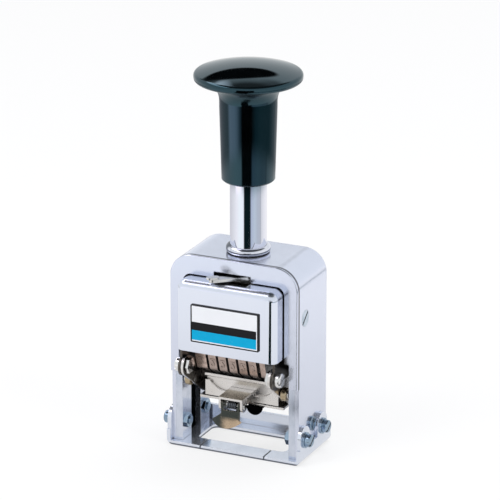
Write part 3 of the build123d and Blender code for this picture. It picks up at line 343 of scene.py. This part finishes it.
LAVENDER, LAVENDER_DARK = (0.72, 0.755, 0.875), (0.66, 0.70, 0.83)
METALS = {
    "chrome_case": dict(
        tone=LAVENDER, dark=LAVENDER_DARK, rough=(0.17, 0.23), grain_bump=0.006,
        edge=0.0003, edge_tone=(0.86, 0.88, 0.95), extra=seam),
    "chrome_base": dict(
        tone=(0.80, 0.84, 0.93), dark=(0.56, 0.62, 0.76), rough=(0.11, 0.18), grain_bump=0.012,
        wave=0.004, edge=0.00025, edge_tone=(0.88, 0.90, 0.96), metallic=0.85, nook=0.0009,
        extra=base_frame_tone),
    "chrome_tube": dict(
        tone=(0.80, 0.81, 0.88), dark=(0.70, 0.72, 0.82), rough=(0.03, 0.07), grain_bump=0.008,
        wave=0.004, edge=0.00015, edge_tone=(0.9, 0.9, 0.95)),
    "cover_chrome": dict(
        tone=(0.76, 0.80, 0.90), dark=(0.68, 0.72, 0.85), rough=(0.05, 0.09), grain_bump=0.006,
        wave=0.003, edge=0.0002, dull=dull_top),
    "collar_chrome": dict(
        tone=(0.80, 0.81, 0.88), dark=(0.60, 0.64, 0.76), rough=(0.05, 0.10), grain_bump=0.02,
        wave=0.01, blotch=350.0, dirt=0.5, edge=0.00015, edge_tone=(0.9, 0.9, 0.95),
        nook=0.001, extra=collar_tone),
    "nickel": dict(
        tone=(0.80, 0.77, 0.75), dark=(0.60, 0.56, 0.52), rough=(0.20, 0.34), grain_bump=0.05,
        dirt=0.45, edge=0.0002, edge_tone=(0.9, 0.88, 0.86), nook=0.0007, extra=stained_arm),
    "lever_nickel": dict(
        tone=(0.78, 0.77, 0.75), dark=(0.45, 0.43, 0.41), rough=(0.14, 0.26),
        grain=(0.15, 3, 3), grain_bump=0.12, dirt=0.5, edge=0.0002,
        edge_tone=(0.95, 0.95, 0.95)),
    # Inner carriage parts: dark with dirt and ink, and darker still as painted shade inside the
    # case
    "nickel_inked_and_shaded": dict(
        tone=(0.13, 0.115, 0.10), dark=(0.04, 0.036, 0.032), rough=(0.25, 0.42),
        grain_bump=0.06, dirt=0.7, edge=0.00012, edge_tone=(0.5, 0.48, 0.45)),
    "bright_nickel": dict(
        tone=(0.82, 0.81, 0.80), dark=(0.5, 0.49, 0.49), rough=(0.07, 0.16), grain_bump=0.02,
        dirt=0.35, edge=0.0002, edge_tone=(0.92, 0.92, 0.92)),
    "rail_chrome": dict(
        tone=(0.70, 0.74, 0.84), dark=(0.40, 0.46, 0.58), rough=(0.12, 0.2),
        grain=(1, 1, 0.05), grain_bump=0.05, dirt=0.5, blotch=150.0, edge=0.0002,
        edge_tone=(0.9, 0.92, 0.97), metallic=0.9, nook=0.0012),
    "zinc": dict(
        tone=(0.36, 0.47, 0.59), dark=(0.12, 0.19, 0.27), rough=(0.10, 0.2), grain_bump=0.05,
        dirt=0.6, blotch=300.0, edge=0.0002, edge_tone=(0.85, 0.9, 0.96), nook=0.0014),
    "side_zinc": dict(
        tone=(0.60, 0.68, 0.78), dark=(0.30, 0.38, 0.48), rough=(0.10, 0.2), grain_bump=0.05,
        dirt=0.6, blotch=300.0, edge=0.0002, edge_tone=(0.85, 0.9, 0.96), nook=0.0014,
        extra=screw_tone),
    "spring_steel": dict(
        tone=(0.16, 0.17, 0.19), dark=(0.05, 0.05, 0.06), rough=(0.18, 0.32), grain_bump=0.04,
        dirt=0.6, edge=0.0001, edge_tone=(0.4, 0.42, 0.45)),
    "brass": dict(
        tone=(0.46, 0.37, 0.25), dark=(0.20, 0.16, 0.11), rough=(0.16, 0.30), grain=(8, 1, 1),
        grain_bump=0.05, dirt=0.6, edge=0.00015, edge_tone=(0.8, 0.72, 0.55)),
}
GLOSSES = {
    # Painted shade: black strips in the guide slots stand in for the shade of the channel between
    # the rails
    "slot_shade_black": dict(tone=(0.002, 0.0025, 0.003), rough=(0.28, 0.42), level=0.0),
    "black_tab": dict(tone=(0.001, 0.001, 0.0012), rough=(0.35, 0.5), level=0.0),
    "black_knob": dict(tone=(0.0004, 0.0006, 0.0008), rough=(0.03, 0.075), level=1.0,
                       tint=(0.39, 0.80, 1.0), wave=0.008, under=0.22),
}


# ---------------------------------------------------------------- other materials
def wheel_material():
    """Copper-brown bronze, black with ink at the sides and where the pad reaches."""
    material, t, place = new_tree("wheel_bronze")
    rounded = t.rounded(0.0001)
    x, y, z = t.split(place)
    facing = t.node("ShaderNodeTexCoord").outputs["Normal"]
    sides = t.span(t.math("ABSOLUTE", t.split(facing)[0]), 0.6, 0.8)
    cloud = t.noise(place, 420.0, 5.0, 0.65)
    below = t.math("ADD", t.minus(z, WHEEL_Z * MM), t.times(t.minus(y, WHEEL_Y * MM), 0.18))
    ink_starts, ink_full = -0.0066, -0.0088
    inked = t.span(t.math("ADD", below, t.wander(cloud, 0.004)), ink_starts, ink_full)
    ink = t.math("MAXIMUM", inked, sides)
    copper = t.mix(t.span(cloud, 0.35, 0.7), (0.58, 0.46, 0.41), (0.36, 0.28, 0.245))
    copper = t.mix(t.times(t.edges(rounded), 0.5), copper, (0.72, 0.58, 0.5))
    colour = t.mix(t.times(ink, 0.96), copper, (0.012, 0.011, 0.012))
    # Painted light: the wide wheel at the left end is brightened against the shade it gets beside
    # the arm
    lit_wide_wheel = t.span(x, -0.0120, -0.0130)
    colour = t.mix(lit_wide_wheel, colour, (1.45, 1.42, 1.4), blend="MULTIPLY")
    t.principled({
        "Base Color": colour, "Metallic": t.span(ink, 0.0, 1.0, 1.0, 0.2),
        "Roughness": t.span(cloud, 0.3, 0.7, 0.22, 0.4),
        "Normal": t.bump(t.noise(place, 1500.0, 3.0, 0.6), 0.08, 0.0001, rounded)})
    return material


def label_material():
    """Printed metal plate in plain bands, with a black border."""
    material, t, place = new_tree("label_print")
    x, _, z = t.split(place)
    low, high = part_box("nameplate")
    across = t.span(x, low.x, high.x)
    down = t.span(z, high.z, low.z)
    white, black, cyan = (0.80, 0.81, 0.84), (0.010, 0.010, 0.012), (0.0, 0.36, 0.62)
    left, top, right, bottom = 0.020, 0.030, 0.976, 0.962
    white_line = 0.964
    bands = t.ramp(down, ((0.0, black), (top, white), (0.455, black), (0.675, cyan),
                          (0.935, white), (bottom, black)), "CONSTANT")
    inside = t.times(t.math("GREATER_THAN", across, left), t.math("LESS_THAN", across, right))
    line = t.times(t.math("GREATER_THAN", across, white_line), inside)
    line = t.times(line, t.math("LESS_THAN", down, bottom))
    line = t.times(line, t.math("GREATER_THAN", down, top))
    colour = t.mix(inside, black, t.mix(line, bands, white))
    wear = t.noise(place, 700.0, 5.0, 0.7)
    colour = t.mix(t.span(wear, 0.62, 0.8, 0.0, 0.25), colour, (0.5, 0.52, 0.55))
    rounded = t.rounded(0.0001)
    colour = t.mix(t.times(t.edges(rounded), 0.4), colour, (0.3, 0.3, 0.32))
    t.principled({
        "Base Color": colour, "Metallic": 0.0, "Roughness": t.span(wear, 0.3, 0.7, 0.28, 0.42),
        "Specular IOR Level": 0.12, "Normal": t.bump(wear, 0.03, 0.0002, rounded)})
    return material


def felt_material():
    """Fibrous felt, soaked unevenly with black ink."""
    material, t, place = new_tree("felt_ink")
    fibre = t.noise(t.stretched(place, (1.0, 2.5, 1.0)), 3800.0, 6.0, 0.75)
    pool = t.noise(place, 260.0, 3.0)
    t.principled({
        "Base Color": t.mix(t.span(pool, 0.35, 0.7), (0.010, 0.009, 0.012),
                            (0.035, 0.033, 0.042)),
        "Roughness": t.span(pool, 0.3, 0.7, 0.55, 0.85), "Sheen Weight": 0.3,
        "Sheen Roughness": 0.5, "Normal": t.bump(fibre, 0.6, 0.0003)})
    return material


def latch_material():
    """Bronze, dark olive on the left, with a painted reflection in tan on the lower right."""
    material, t, place = new_tree("latch_bronze")
    rounded = t.rounded(0.00015)
    x, _, z = t.split(place)
    cloud = t.noise(place, 380.0, 4.0, 0.6)
    across = t.math("ADD", x, t.wander(cloud, 0.004))
    fan_top, fan_middle, reflection_starts_x, reflection_full_x = 0.0166, 0.0140, -0.0052, 0.0002
    low_down = t.span(z, fan_top, fan_middle, smooth=True)
    # Painted reflection: tan across the lower right of the fan
    painted_reflection = t.times(t.span(across, reflection_starts_x, reflection_full_x, smooth=True), low_down)
    colour = t.mix(painted_reflection, (0.060, 0.068, 0.062), (0.66, 0.50, 0.35))
    colour = t.mix(t.times(t.edges(rounded), 0.6), colour, (0.75, 0.66, 0.52))
    fine = t.noise(t.stretched(place, (6, 6, 1)), 1400.0, 3.0)
    t.principled({
        "Base Color": colour, "Metallic": 1.0, "Roughness": t.span(cloud, 0.3, 0.7, 0.18, 0.32),
        "Normal": t.bump(fine, 0.06, 0.0002, rounded)})
    return material


def shell_material():
    """Satin chrome strip, with painted shade along its seam with the front plate and in crevices.
    """
    material, t, place = new_tree("chrome_shell")
    _, y, z = t.split(place)
    front_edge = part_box("outer_shell")[0].y
    plate_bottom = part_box("front_plate")[0].z
    unshaded = t.math("MAXIMUM", t.span(y, front_edge + 0.0001, front_edge + 0.0006),
                   t.math("LESS_THAN", z, plate_bottom))
    colour = t.mix(t.span(t.noise(place, 60.0, 4.0), *CLOUD_SPAN, 0.0, 0.2), LAVENDER,
                   LAVENDER_DARK)
    # Painted shade along the seam with the front plate
    colour = t.mix(t.times(t.minus(1.0, unshaded), 0.9), colour, SEAM_SHADE_TONE)
    smear = t.noise(place, SMEAR_SCALE, 5.0, 0.6)
    fine = t.noise(place, GRAIN_SCALE, 2.0, 0.6)
    t.principled({
        # Painted shade in crevices and where pieces meet
        "Base Color": crevice_shade(t, colour, 0.0008), "Metallic": 0.85,
        "Roughness": t.span(smear, 0.3, 0.7, 0.17, 0.22),
        "Normal": t.bump(fine, 0.006, 0.0002, t.rounded(0.0003))})
    return material


MATERIALS = {name: metal(name, **look) for name, look in METALS.items()}
MATERIALS.update({name: gloss(name, **look) for name, look in GLOSSES.items()})
MATERIALS["wheel_bronze"] = wheel_material()
MATERIALS["latch_bronze"] = latch_material()
MATERIALS["chrome_shell"] = shell_material()
MATERIALS["label_print"] = label_material()
MATERIALS["felt"] = felt_material()

FINISH = {
    "chrome_case": ["front_plate", "rear_plate"],
    "chrome_shell": ["outer_shell"],
    "chrome_base": ["base_frame"],
    "chrome_tube": ["plunger_tube"],
    "collar_chrome": ["collar_bush"],
    "cover_chrome": ["front_cover"],
    "nickel": ["ink_arm", "pad_cartridge", "lever_post"],
    "lever_nickel": ["selector_lever"],
    "nickel_inked_and_shaded": ["carriage_frame", "slide_blocks", "axle_spacers"],
    "bright_nickel": ["arm_pivot_screws", "arm_pivot_nuts", "roller_pins", "latch_pin"],
    "zinc": ["ear_screws", "ear_washers", "ear_nuts", "guide_screws", "stem_nut",
             "wheel_axle", "pawl_shaft", "index_shaft", "spring_pins"],
    "rail_chrome": ["guide_rails"],
    "side_zinc": ["side_screws"],
    "spring_steel": ["feed_pawl", "index_pawls"],
    "slot_shade_black": ["guide_strips"],
    "brass": ["cam_roller_left", "cam_roller_right"],
    "latch_bronze": ["thumb_latch"],
    "black_tab": ["cartridge_tab"],
    "black_knob": ["knob"],
    "wheel_bronze": [f"digit_wheel_{n + 1}" for n in range(DIGIT_WHEELS)]
                    + ["prefix_wheel", "drive_ratchet"],
    "label_print": ["nameplate"],
}
for finish_name, members in FINISH.items():
    for member in members:
        for material_slot in nodes[member].material_slots:
            material_slot.material = MATERIALS[finish_name]


# ---------------------------------------------------------------- mesh helpers
def add_piece(name, mesh, slot_name, body=None, smooth=True):
    """Object with the material of its slot; it rides on body, or its transform is baked in place
    by the caller.
    """
    mesh.materials.clear()
    mesh.materials.append(MATERIALS[slot_name])
    for face in mesh.polygons:
        face.use_smooth = smooth
    piece = bpy.data.objects.new(name, mesh)
    bpy.context.scene.collection.objects.link(piece)
    if body is not None:
        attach(piece, body)
    return piece


def mesh_from(name, points, faces):
    """Mesh from points in millimetres."""
    mesh = bpy.data.meshes.new(name)
    mesh.from_pydata([Vector(p) * MM for p in points], [], faces)
    mesh.validate()
    mesh.update()
    return mesh


def wire_mesh(name, path, radius, sides):
    """Round wire along a path of points, with closed ends."""
    path = [Vector(p) for p in path]
    points, faces = [], []
    tangents = [(path[min(i + 1, len(path) - 1)] - path[max(i - 1, 0)]).normalized()
                for i in range(len(path))]
    across = tangents[0].orthogonal().normalized()
    for i, centre in enumerate(path):
        across = (across - tangents[i] * across.dot(tangents[i])).normalized()
        other = tangents[i].cross(across)
        for k in range(sides):
            a = 2 * pi * k / sides
            points.append(centre + radius * (cos(a) * across + sin(a) * other))
        if i:
            start = (i - 1) * sides
            for k in range(sides):
                n = (k + 1) % sides
                faces.append((start + k, start + n, start + sides + n, start + sides + k))
    faces.append(tuple(reversed(range(sides))))
    last = (len(path) - 1) * sides
    faces.append(tuple(last + k for k in range(sides)))
    return mesh_from(name, points, faces)


# ---------------------------------------------------------------- wheel figures
def glyph(character):
    """Points and faces of a raised figure, one millimetre tall, centred."""
    curve = bpy.data.curves.new("figure", "FONT")
    curve.body = character
    curve.extrude = 0.5
    curve.resolution_u = 4
    text = bpy.data.objects.new("figure", curve)
    bpy.context.scene.collection.objects.link(text)
    bpy.context.view_layer.update()
    mesh = bpy.data.meshes.new_from_object(text.evaluated_get(
        bpy.context.evaluated_depsgraph_get()))
    points = [v.co.copy() for v in mesh.vertices]
    faces = [tuple(face.vertices) for face in mesh.polygons]
    bpy.data.objects.remove(text)
    bpy.data.curves.remove(curve)
    bpy.data.meshes.remove(mesh)
    low_x, high_x = min(p.x for p in points), max(p.x for p in points)
    low_y, high_y = min(p.y for p in points), max(p.y for p in points)
    tall = high_y - low_y
    middle = Vector(((low_x + high_x) / 2, (low_y + high_y) / 2, 0))
    return [Vector(((p.x - middle.x) / tall, (p.y - middle.y) / tall, p.z))
            for p in points], faces


GLYPHS = [glyph(character) for character in "0123456789"]
FIGURE_HEIGHT, FIGURE_WIDTH, FIGURE_RISE = 4.0, 3.0, 0.16
FIGURE_ROOT, FIGURE_DRAFT = 0.05, 0.06


def wheel_figures(name, centre_x, first, body):
    """Mirror-wise raised figures on the ten faces of a wheel; first is the one below."""
    points, faces = [], []
    for k in range(WHEEL_FACES):
        shape, shape_faces = GLYPHS[(first + k) % len(GLYPHS)]
        angle = radians(270 - 360 / WHEEL_FACES * k)
        outward = Vector((0, cos(angle), sin(angle)))
        upward = Vector((0, -sin(angle), cos(angle)))
        base = Vector((centre_x, WHEEL_Y, WHEEL_Z)) + outward * (WHEEL_APOTHEM - FIGURE_ROOT)
        start = len(points)
        for p in shape:
            height = p.z + 0.5
            draft = 1.0 - FIGURE_DRAFT * height
            points.append(base + Vector((p.x * FIGURE_WIDTH * draft, 0, 0))
                          + upward * (p.y * FIGURE_HEIGHT * draft)
                          + outward * (height * (FIGURE_RISE + FIGURE_ROOT)))
        faces += [tuple(start + i for i in reversed(face)) for face in shape_faces]
    add_piece(name, mesh_from(name, points, faces), "wheel_bronze", body, smooth=False)


# The counter stands at 1: the last wheel has 1 at its foot, the others 0
for number in range(DIGIT_WHEELS):
    wheel_figures(f"figures_{number + 1}", FIRST_WHEEL_X + number * WHEEL_PITCH,
                  1 if number == DIGIT_WHEELS - 1 else 0, f"digit_wheel_{number + 1}")
wheel_figures("figures_prefix", PREFIX_WHEEL_X, 0, "prefix_wheel")


# ---------------------------------------------------------------- springs
def return_spring(name, replaced, x):
    """Round wire: hook round the pin, coils, hook down to the slide block."""
    low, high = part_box(replaced)
    bottom, top = low.z / MM, high.z / MM
    radius, wire, turns, steps = 1.6, 0.3, 11, 26
    coil_low, coil_high = bottom + 1.6, top - 2.0
    path = [(x, 0, bottom + wire), (x, 0, bottom + 0.7), (x + 0.5, 0, bottom + 1.1)]
    for i in range(turns * steps + 1):
        a = 2 * pi * i / steps
        z = coil_low + (coil_high - coil_low) * i / (turns * steps)
        path.append((x + radius * cos(a), radius * sin(a), z))
    path += [(x + 0.5, 0, coil_high + 0.6), (x, 0, coil_high + 1.0), (x, 0, top - wire)]
    piece = add_piece(name, wire_mesh(name, path, wire, 8), "spring_steel")
    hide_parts(replaced)
    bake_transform(piece)


return_spring("coil_left", "return_spring_left", -RETURN_SPRING_X)
return_spring("coil_right", "return_spring_right", RETURN_SPRING_X)


def latch_spring():
    """Torsion spring round the latch pin, with a leg under the tongue and one on the web."""
    y, z = LATCH_PIN_Y, LATCH_PIN_Z
    radius, wire, half, turns, steps = 1.3, 0.34, 2.1, 5, 24
    path = [(-half, y + 3.3, z + 2.05), (-half, y + 1.6, z + 1.75)]
    count = turns * steps + steps // 2
    for i in range(count + 1):
        a = pi / 2 - 2 * pi * i / steps
        path.append((-half + 2 * half * i / count, y + radius * cos(a), z + radius * sin(a)))
    path += [(half, y - 1.0, z - 1.6), (half, y - 1.35, z - 2.6)]
    piece = add_piece("torsion_spring", wire_mesh("torsion_spring", path, wire, 10),
                      "spring_steel")
    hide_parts("latch_spring")
    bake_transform(piece)


latch_spring()


# ---------------------------------------------------------------- felt pad
def felt_pad():
    """Inked felt block: crowned top, soft edges and a worn, fibrous surface."""
    low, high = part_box("ink_pad")
    size, centre = high - low, (low + high) / 2
    crown_drop, fibre_depth, fibre_scale = 0.0004, 0.004, 1400.0
    work = bmesh.new()
    bmesh.ops.create_cube(work, size=1.0)
    bmesh.ops.subdivide_edges(work, edges=work.edges[:], cuts=22, use_grid_fill=True)
    for vertex in work.verts:
        u = Vector(vertex.co) * 2
        place = Vector((u.x * size.x, u.y * size.y, u.z * size.z)) / 2
        if u.z > 0.2:
            worn = 1 - (1 - u.x ** 4) * (1 - u.y ** 2)
            place.z -= crown_drop * worn * (u.z - 0.2) / 0.8
            place.x *= 1 - 0.004 * worn
            place.y *= 1 - 0.03 * worn
        place *= 1 - fibre_depth * abs(noise.noise(place * fibre_scale))
        vertex.co = centre + place
    mesh = bpy.data.meshes.new("felt_pad")
    work.to_mesh(mesh)
    work.free()
    piece = add_piece("felt_pad", mesh, "felt", "ink_arm")
    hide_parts("ink_pad")


felt_pad()


# ---------------------------------------------------------------- floor and reflector
def floor_material():
    """White floor: plain for the camera with a soft shadow; for reflections it glows, with a
    painted shadow near the machine.
    """
    material, t, place = new_tree("floor_white")
    light = t.node("ShaderNodeLightPath")
    shade_ends, shade_tone, white_share = 0.22, 0.80, 0.72
    # Painted shadow for reflections: the glow is dimmer near the machine
    near = t.span(t.length(place), 0.03, shade_ends, shade_tone, 1.0, smooth=True)
    glow = t.node("ShaderNodeEmission", {"Color": (1, 1, 1), "Strength": near})
    white = t.node("ShaderNodeEmission", {"Color": (1, 1, 1), "Strength": 1.0})
    paper = t.bump(t.noise(place, 900.0, 3.0), 0.05, 0.0002)
    diffuse = t.node("ShaderNodeBsdfDiffuse", {"Color": (0.86, 0.86, 0.87), "Normal": paper})
    seen = t.mix_shader(white_share, diffuse, white)
    shader = t.mix_shader(light.outputs["Is Camera Ray"], diffuse, seen)
    t.surface(t.mix_shader(t.mirror_rays(light), shader, glow))
    return material


def add_stage(name, points, faces, material):
    mesh = bpy.data.meshes.new(name)
    mesh.from_pydata(points, [], faces)
    mesh.update()
    mesh.materials.append(material)
    piece = bpy.data.objects.new(name, mesh)
    bpy.context.scene.collection.objects.link(piece)
    return piece


FLOOR_HALF, FLOOR_Z = 4.0, -0.0002
FLOOR_CORNERS = [(x * FLOOR_HALF, y * FLOOR_HALF, FLOOR_Z)
                 for x, y in ((-1, -1), (1, -1), (1, 1), (-1, 1))]
add_stage("floor", FLOOR_CORNERS, [(0, 1, 2, 3)], floor_material())

# Tones of the reflector by azimuth in degrees: 0 is the front, 90 the right.
# The tube and the case mirror the near ones, the skirt of the knob the far ones. Inside
# CARD_ENDS it is a black card, which gives the bend of the cover its dark line.
NEAR_TONES = ((-180, (1, 1, 1)), (-150, (0.72, 0.72, 0.75)), (-118, (0.72, 0.72, 0.75)),
              (-79, (0.87, 0.88, 0.89)), (-53, (1.0, 1.0, 1.02)), (-31, (1.03, 1.1, 1.1)),
              (-6, (1.0, 1.05, 1.08)), (-1, (0.004, 0.012, 0.014)), (35, (0.004, 0.012, 0.014)),
              (42, (0.50, 0.57, 0.70)), (64, (0.59, 0.68, 0.76)), (84, (0.53, 0.58, 0.65)),
              (101, (0.56, 0.60, 0.66)), (104, (0.36, 0.38, 0.42)), (108, (0.76, 0.78, 0.80)),
              (134, (0.96, 0.96, 0.97)), (158, (1, 1, 1)), (180, (1, 1, 1)))
FAR_TONES = ((-180, (0.5, 0.5, 0.52)), (-111, (0.36, 0.38, 0.42)), (-66, (0.42, 0.44, 0.46)),
             (-54, (1.45, 1.35, 1.55)), (-44, (1.45, 1.3, 1.5)), (-33, (1.45, 1.3, 1.5)),
             (-22, (1.1, 1.0, 1.15)), (-11, (0.32, 0.38, 0.45)), (-1, (0, 0, 0)), (36, (0, 0, 0)),
             (44, (0.04, 0.07, 0.08)), (54, (0.07, 0.16, 0.19)), (72, (0.13, 0.23, 0.25)),
             (95, (0.13, 0.22, 0.24)), (115, (0.10, 0.19, 0.21)), (140, (0.30, 0.35, 0.38)),
             (180, (0.5, 0.5, 0.52)))
CARD_TONE = (0.002, 0.006, 0.007)
CARD_ENDS, NEAR_ENDS, FAR_STARTS = 0.227, 0.302, 0.334
REFLECTOR_STRENGTH = 2.0
REFLECTOR_HEIGHT, REFLECTOR_STEPS = 0.0004, 120
REFLECTOR_RADII = (0.058, 0.112, 0.228, 0.43, 1.6)
# Azimuths that each ring between two of these radii covers, in degrees
REFLECTOR_SECTORS = (((0, 36),), ((0, 24), (354, 360)), ((0, 360),), ((0, 36),))


def tones_by_azimuth(t, turn, tones):
    """Ramp of tones, each divided by the strength with which the reflector shines."""
    return t.ramp(turn, [((degrees + 180) / 360, [c / REFLECTOR_STRENGTH for c in tone])
                         for degrees, tone in tones])


def reflector():
    """Rings on the floor that only reflections see: the studio's light and dark sides."""
    material, t, place = new_tree("reflector")
    x, y, _ = t.split(place)
    turn = t.span(azimuth(t, x, y), -pi, pi)
    distance = t.length(place)
    tone = t.mix(t.span(distance, NEAR_ENDS, FAR_STARTS, smooth=True),
                 tones_by_azimuth(t, turn, NEAR_TONES), tones_by_azimuth(t, turn, FAR_TONES))
    tone = t.mix(t.span(distance, CARD_ENDS + 0.003, CARD_ENDS), tone, CARD_TONE)
    t.surface(t.node("ShaderNodeEmission", {"Color": tone, "Strength": REFLECTOR_STRENGTH}))
    points, faces = [], []
    per_step = len(REFLECTOR_RADII)
    for i in range(REFLECTOR_STEPS):
        a = 2 * pi * i / REFLECTOR_STEPS
        points += [(r * sin(a), -r * cos(a), REFLECTOR_HEIGHT) for r in REFLECTOR_RADII]
        here, after = per_step * i, per_step * ((i + 1) % REFLECTOR_STEPS)
        degrees = 360 * i / REFLECTOR_STEPS
        for ring, sectors in enumerate(REFLECTOR_SECTORS):
            if any(low <= degrees < high for low, high in sectors):
                faces.append((here + ring, here + ring + 1, after + ring + 1, after + ring))
    piece = add_stage("reflector", points, faces, material)
    for ray in ("camera", "diffuse", "shadow", "transmission", "volume_scatter"):
        setattr(piece, f"visible_{ray}", False)


reflector()


# ---------------------------------------------------------------- world and lamps
# Brightness of the sky that reflections see, by the sine of its elevation
SKY_LEVELS = ((0.0, 0.95), (0.30, 0.90), (0.45, 0.90), (0.66, 0.92), (0.72, 0.6), (0.765, 0.12),
              (1.0, 0.06))
# How far to the left of straight behind the machine a black card stands, in degrees
CARD_TURN = 27.5


def world():
    """White for the camera, plain soft light for the object, a studio for its reflections."""
    made = bpy.data.worlds.new("studio")
    bpy.context.scene.world = made
    made.use_nodes = True
    t = Tree(made.node_tree)
    light = t.node("ShaderNodeLightPath")
    direction = t.node("ShaderNodeTexCoord").outputs["Generated"]
    up = t.split(direction)[2]
    # Sideways angle from the middle of the card, right positive
    turned = t.node("ShaderNodeMapping", {"Vector": direction,
                                          "Rotation": (0.0, 0.0, radians(-CARD_TURN))},
                    vector_type="POINT").outputs[0]
    turned_x, turned_y, _ = t.split(turned)
    aside = t.math("ARCTAN2", turned_x, turned_y)

    def within(value, low, high, soft):
        return t.times(t.span(value, low - soft, low + soft),
                       t.span(value, high + soft, high - soft))

    def patch(sky, share, tone, sides, side_soft, heights, height_soft):
        """Lay a soft-edged rectangle of a tone on the sky, its sides given in degrees."""
        left, right = (radians(side) for side in sides)
        cover = t.times(within(aside, left, right, radians(side_soft)),
                        within(up, *heights, height_soft))
        return t.mix(t.times(cover, share), sky, tone)

    dim, softbox = (0.02, 0.03, 0.035), (3.0, 2.9, 3.1)
    sky = t.ramp(up, [(height, (level * 0.95, level * 0.98, level))
                      for height, level in SKY_LEVELS])
    sky = patch(sky, 0.65, dim, (13, 70), 5, (0.66, 1.2), 0.03)
    sky = patch(sky, 0.75, dim, (-34, -9), 2.5, (0.50, 0.675), 0.02)
    sky = patch(sky, 1.0, softbox, (-120, -9), 3, (0.665, 0.83), 0.025)
    card_half_width, card_up, card_half_height = radians(13.5), 0.556, 0.125
    wide = t.math("POWER", t.math("DIVIDE", aside, card_half_width), 2.0)
    tall = t.math("POWER", t.math("DIVIDE", t.minus(up, card_up), card_half_height), 2.0)
    card = t.span(t.math("ADD", wide, tall), 1.15, 0.88)
    sky = t.mix(card, sky, (0.002, 0.003, 0.004))

    plain = t.node("ShaderNodeBackground", {"Color": (0.97, 0.98, 1.0), "Strength": 0.75})
    glossy = t.node("ShaderNodeBackground", {"Color": sky, "Strength": 1.0})
    seen = t.node("ShaderNodeBackground", {"Color": (1, 1, 1), "Strength": 1.0})
    shader = t.mix_shader(t.mirror_rays(light), plain, glossy)
    t.surface(t.mix_shader(light.outputs["Is Camera Ray"], shader, seen), "ShaderNodeOutputWorld")


world()


LAMP_TARGET = (0, 0, 0.07)


def lamp(name, place, size, watts, tone=(1, 1, 1)):
    """Rectangular lamp aimed at the middle of the machine, and not mirrored by it."""
    light = bpy.data.lights.new(name, "AREA")
    light.shape = "RECTANGLE"
    light.size, light.size_y = size
    light.energy = watts
    light.color = tone
    piece = bpy.data.objects.new(name, light)
    piece.location = place
    aim = Vector(LAMP_TARGET) - Vector(place)
    piece.rotation_euler = aim.to_track_quat("-Z", "Y").to_euler()
    piece.visible_glossy = False
    bpy.context.scene.collection.objects.link(piece)


lamp("key", (-0.55, -0.75, 0.95), (0.55, 0.40), 5.0)
lamp("fill", (0.95, -0.20, 0.60), (0.30, 0.50), 3.0, (0.96, 0.98, 1.0))
lamp("top", (0.10, 0.35, 1.15), (0.60, 0.40), 3.5)


# ---------------------------------------------------------------- camera
def camera():
    """The photograph's view, solved from the corners of the case and the base frame."""
    data = bpy.data.cameras.new("camera")
    data.lens, data.sensor_width = 276.7, 36.0
    data.shift_x, data.shift_y = 0.0032, -0.0088
    data.clip_start, data.clip_end = 0.05, 20.0
    piece = bpy.data.objects.new("camera", data)
    turn, elevation, distance, target_z = radians(24.7), radians(19.4), 1.45, 0.080
    back = Vector((sin(turn) * cos(elevation), -cos(turn) * cos(elevation), sin(elevation)))
    piece.location = Vector((0, 0, target_z)) + back * distance
    piece.rotation_euler = (-back).to_track_quat("-Z", "Y").to_euler()
    bpy.context.scene.collection.objects.link(piece)
    bpy.context.scene.camera = piece


camera()
bpy.context.scene.view_settings.view_transform = "Standard"
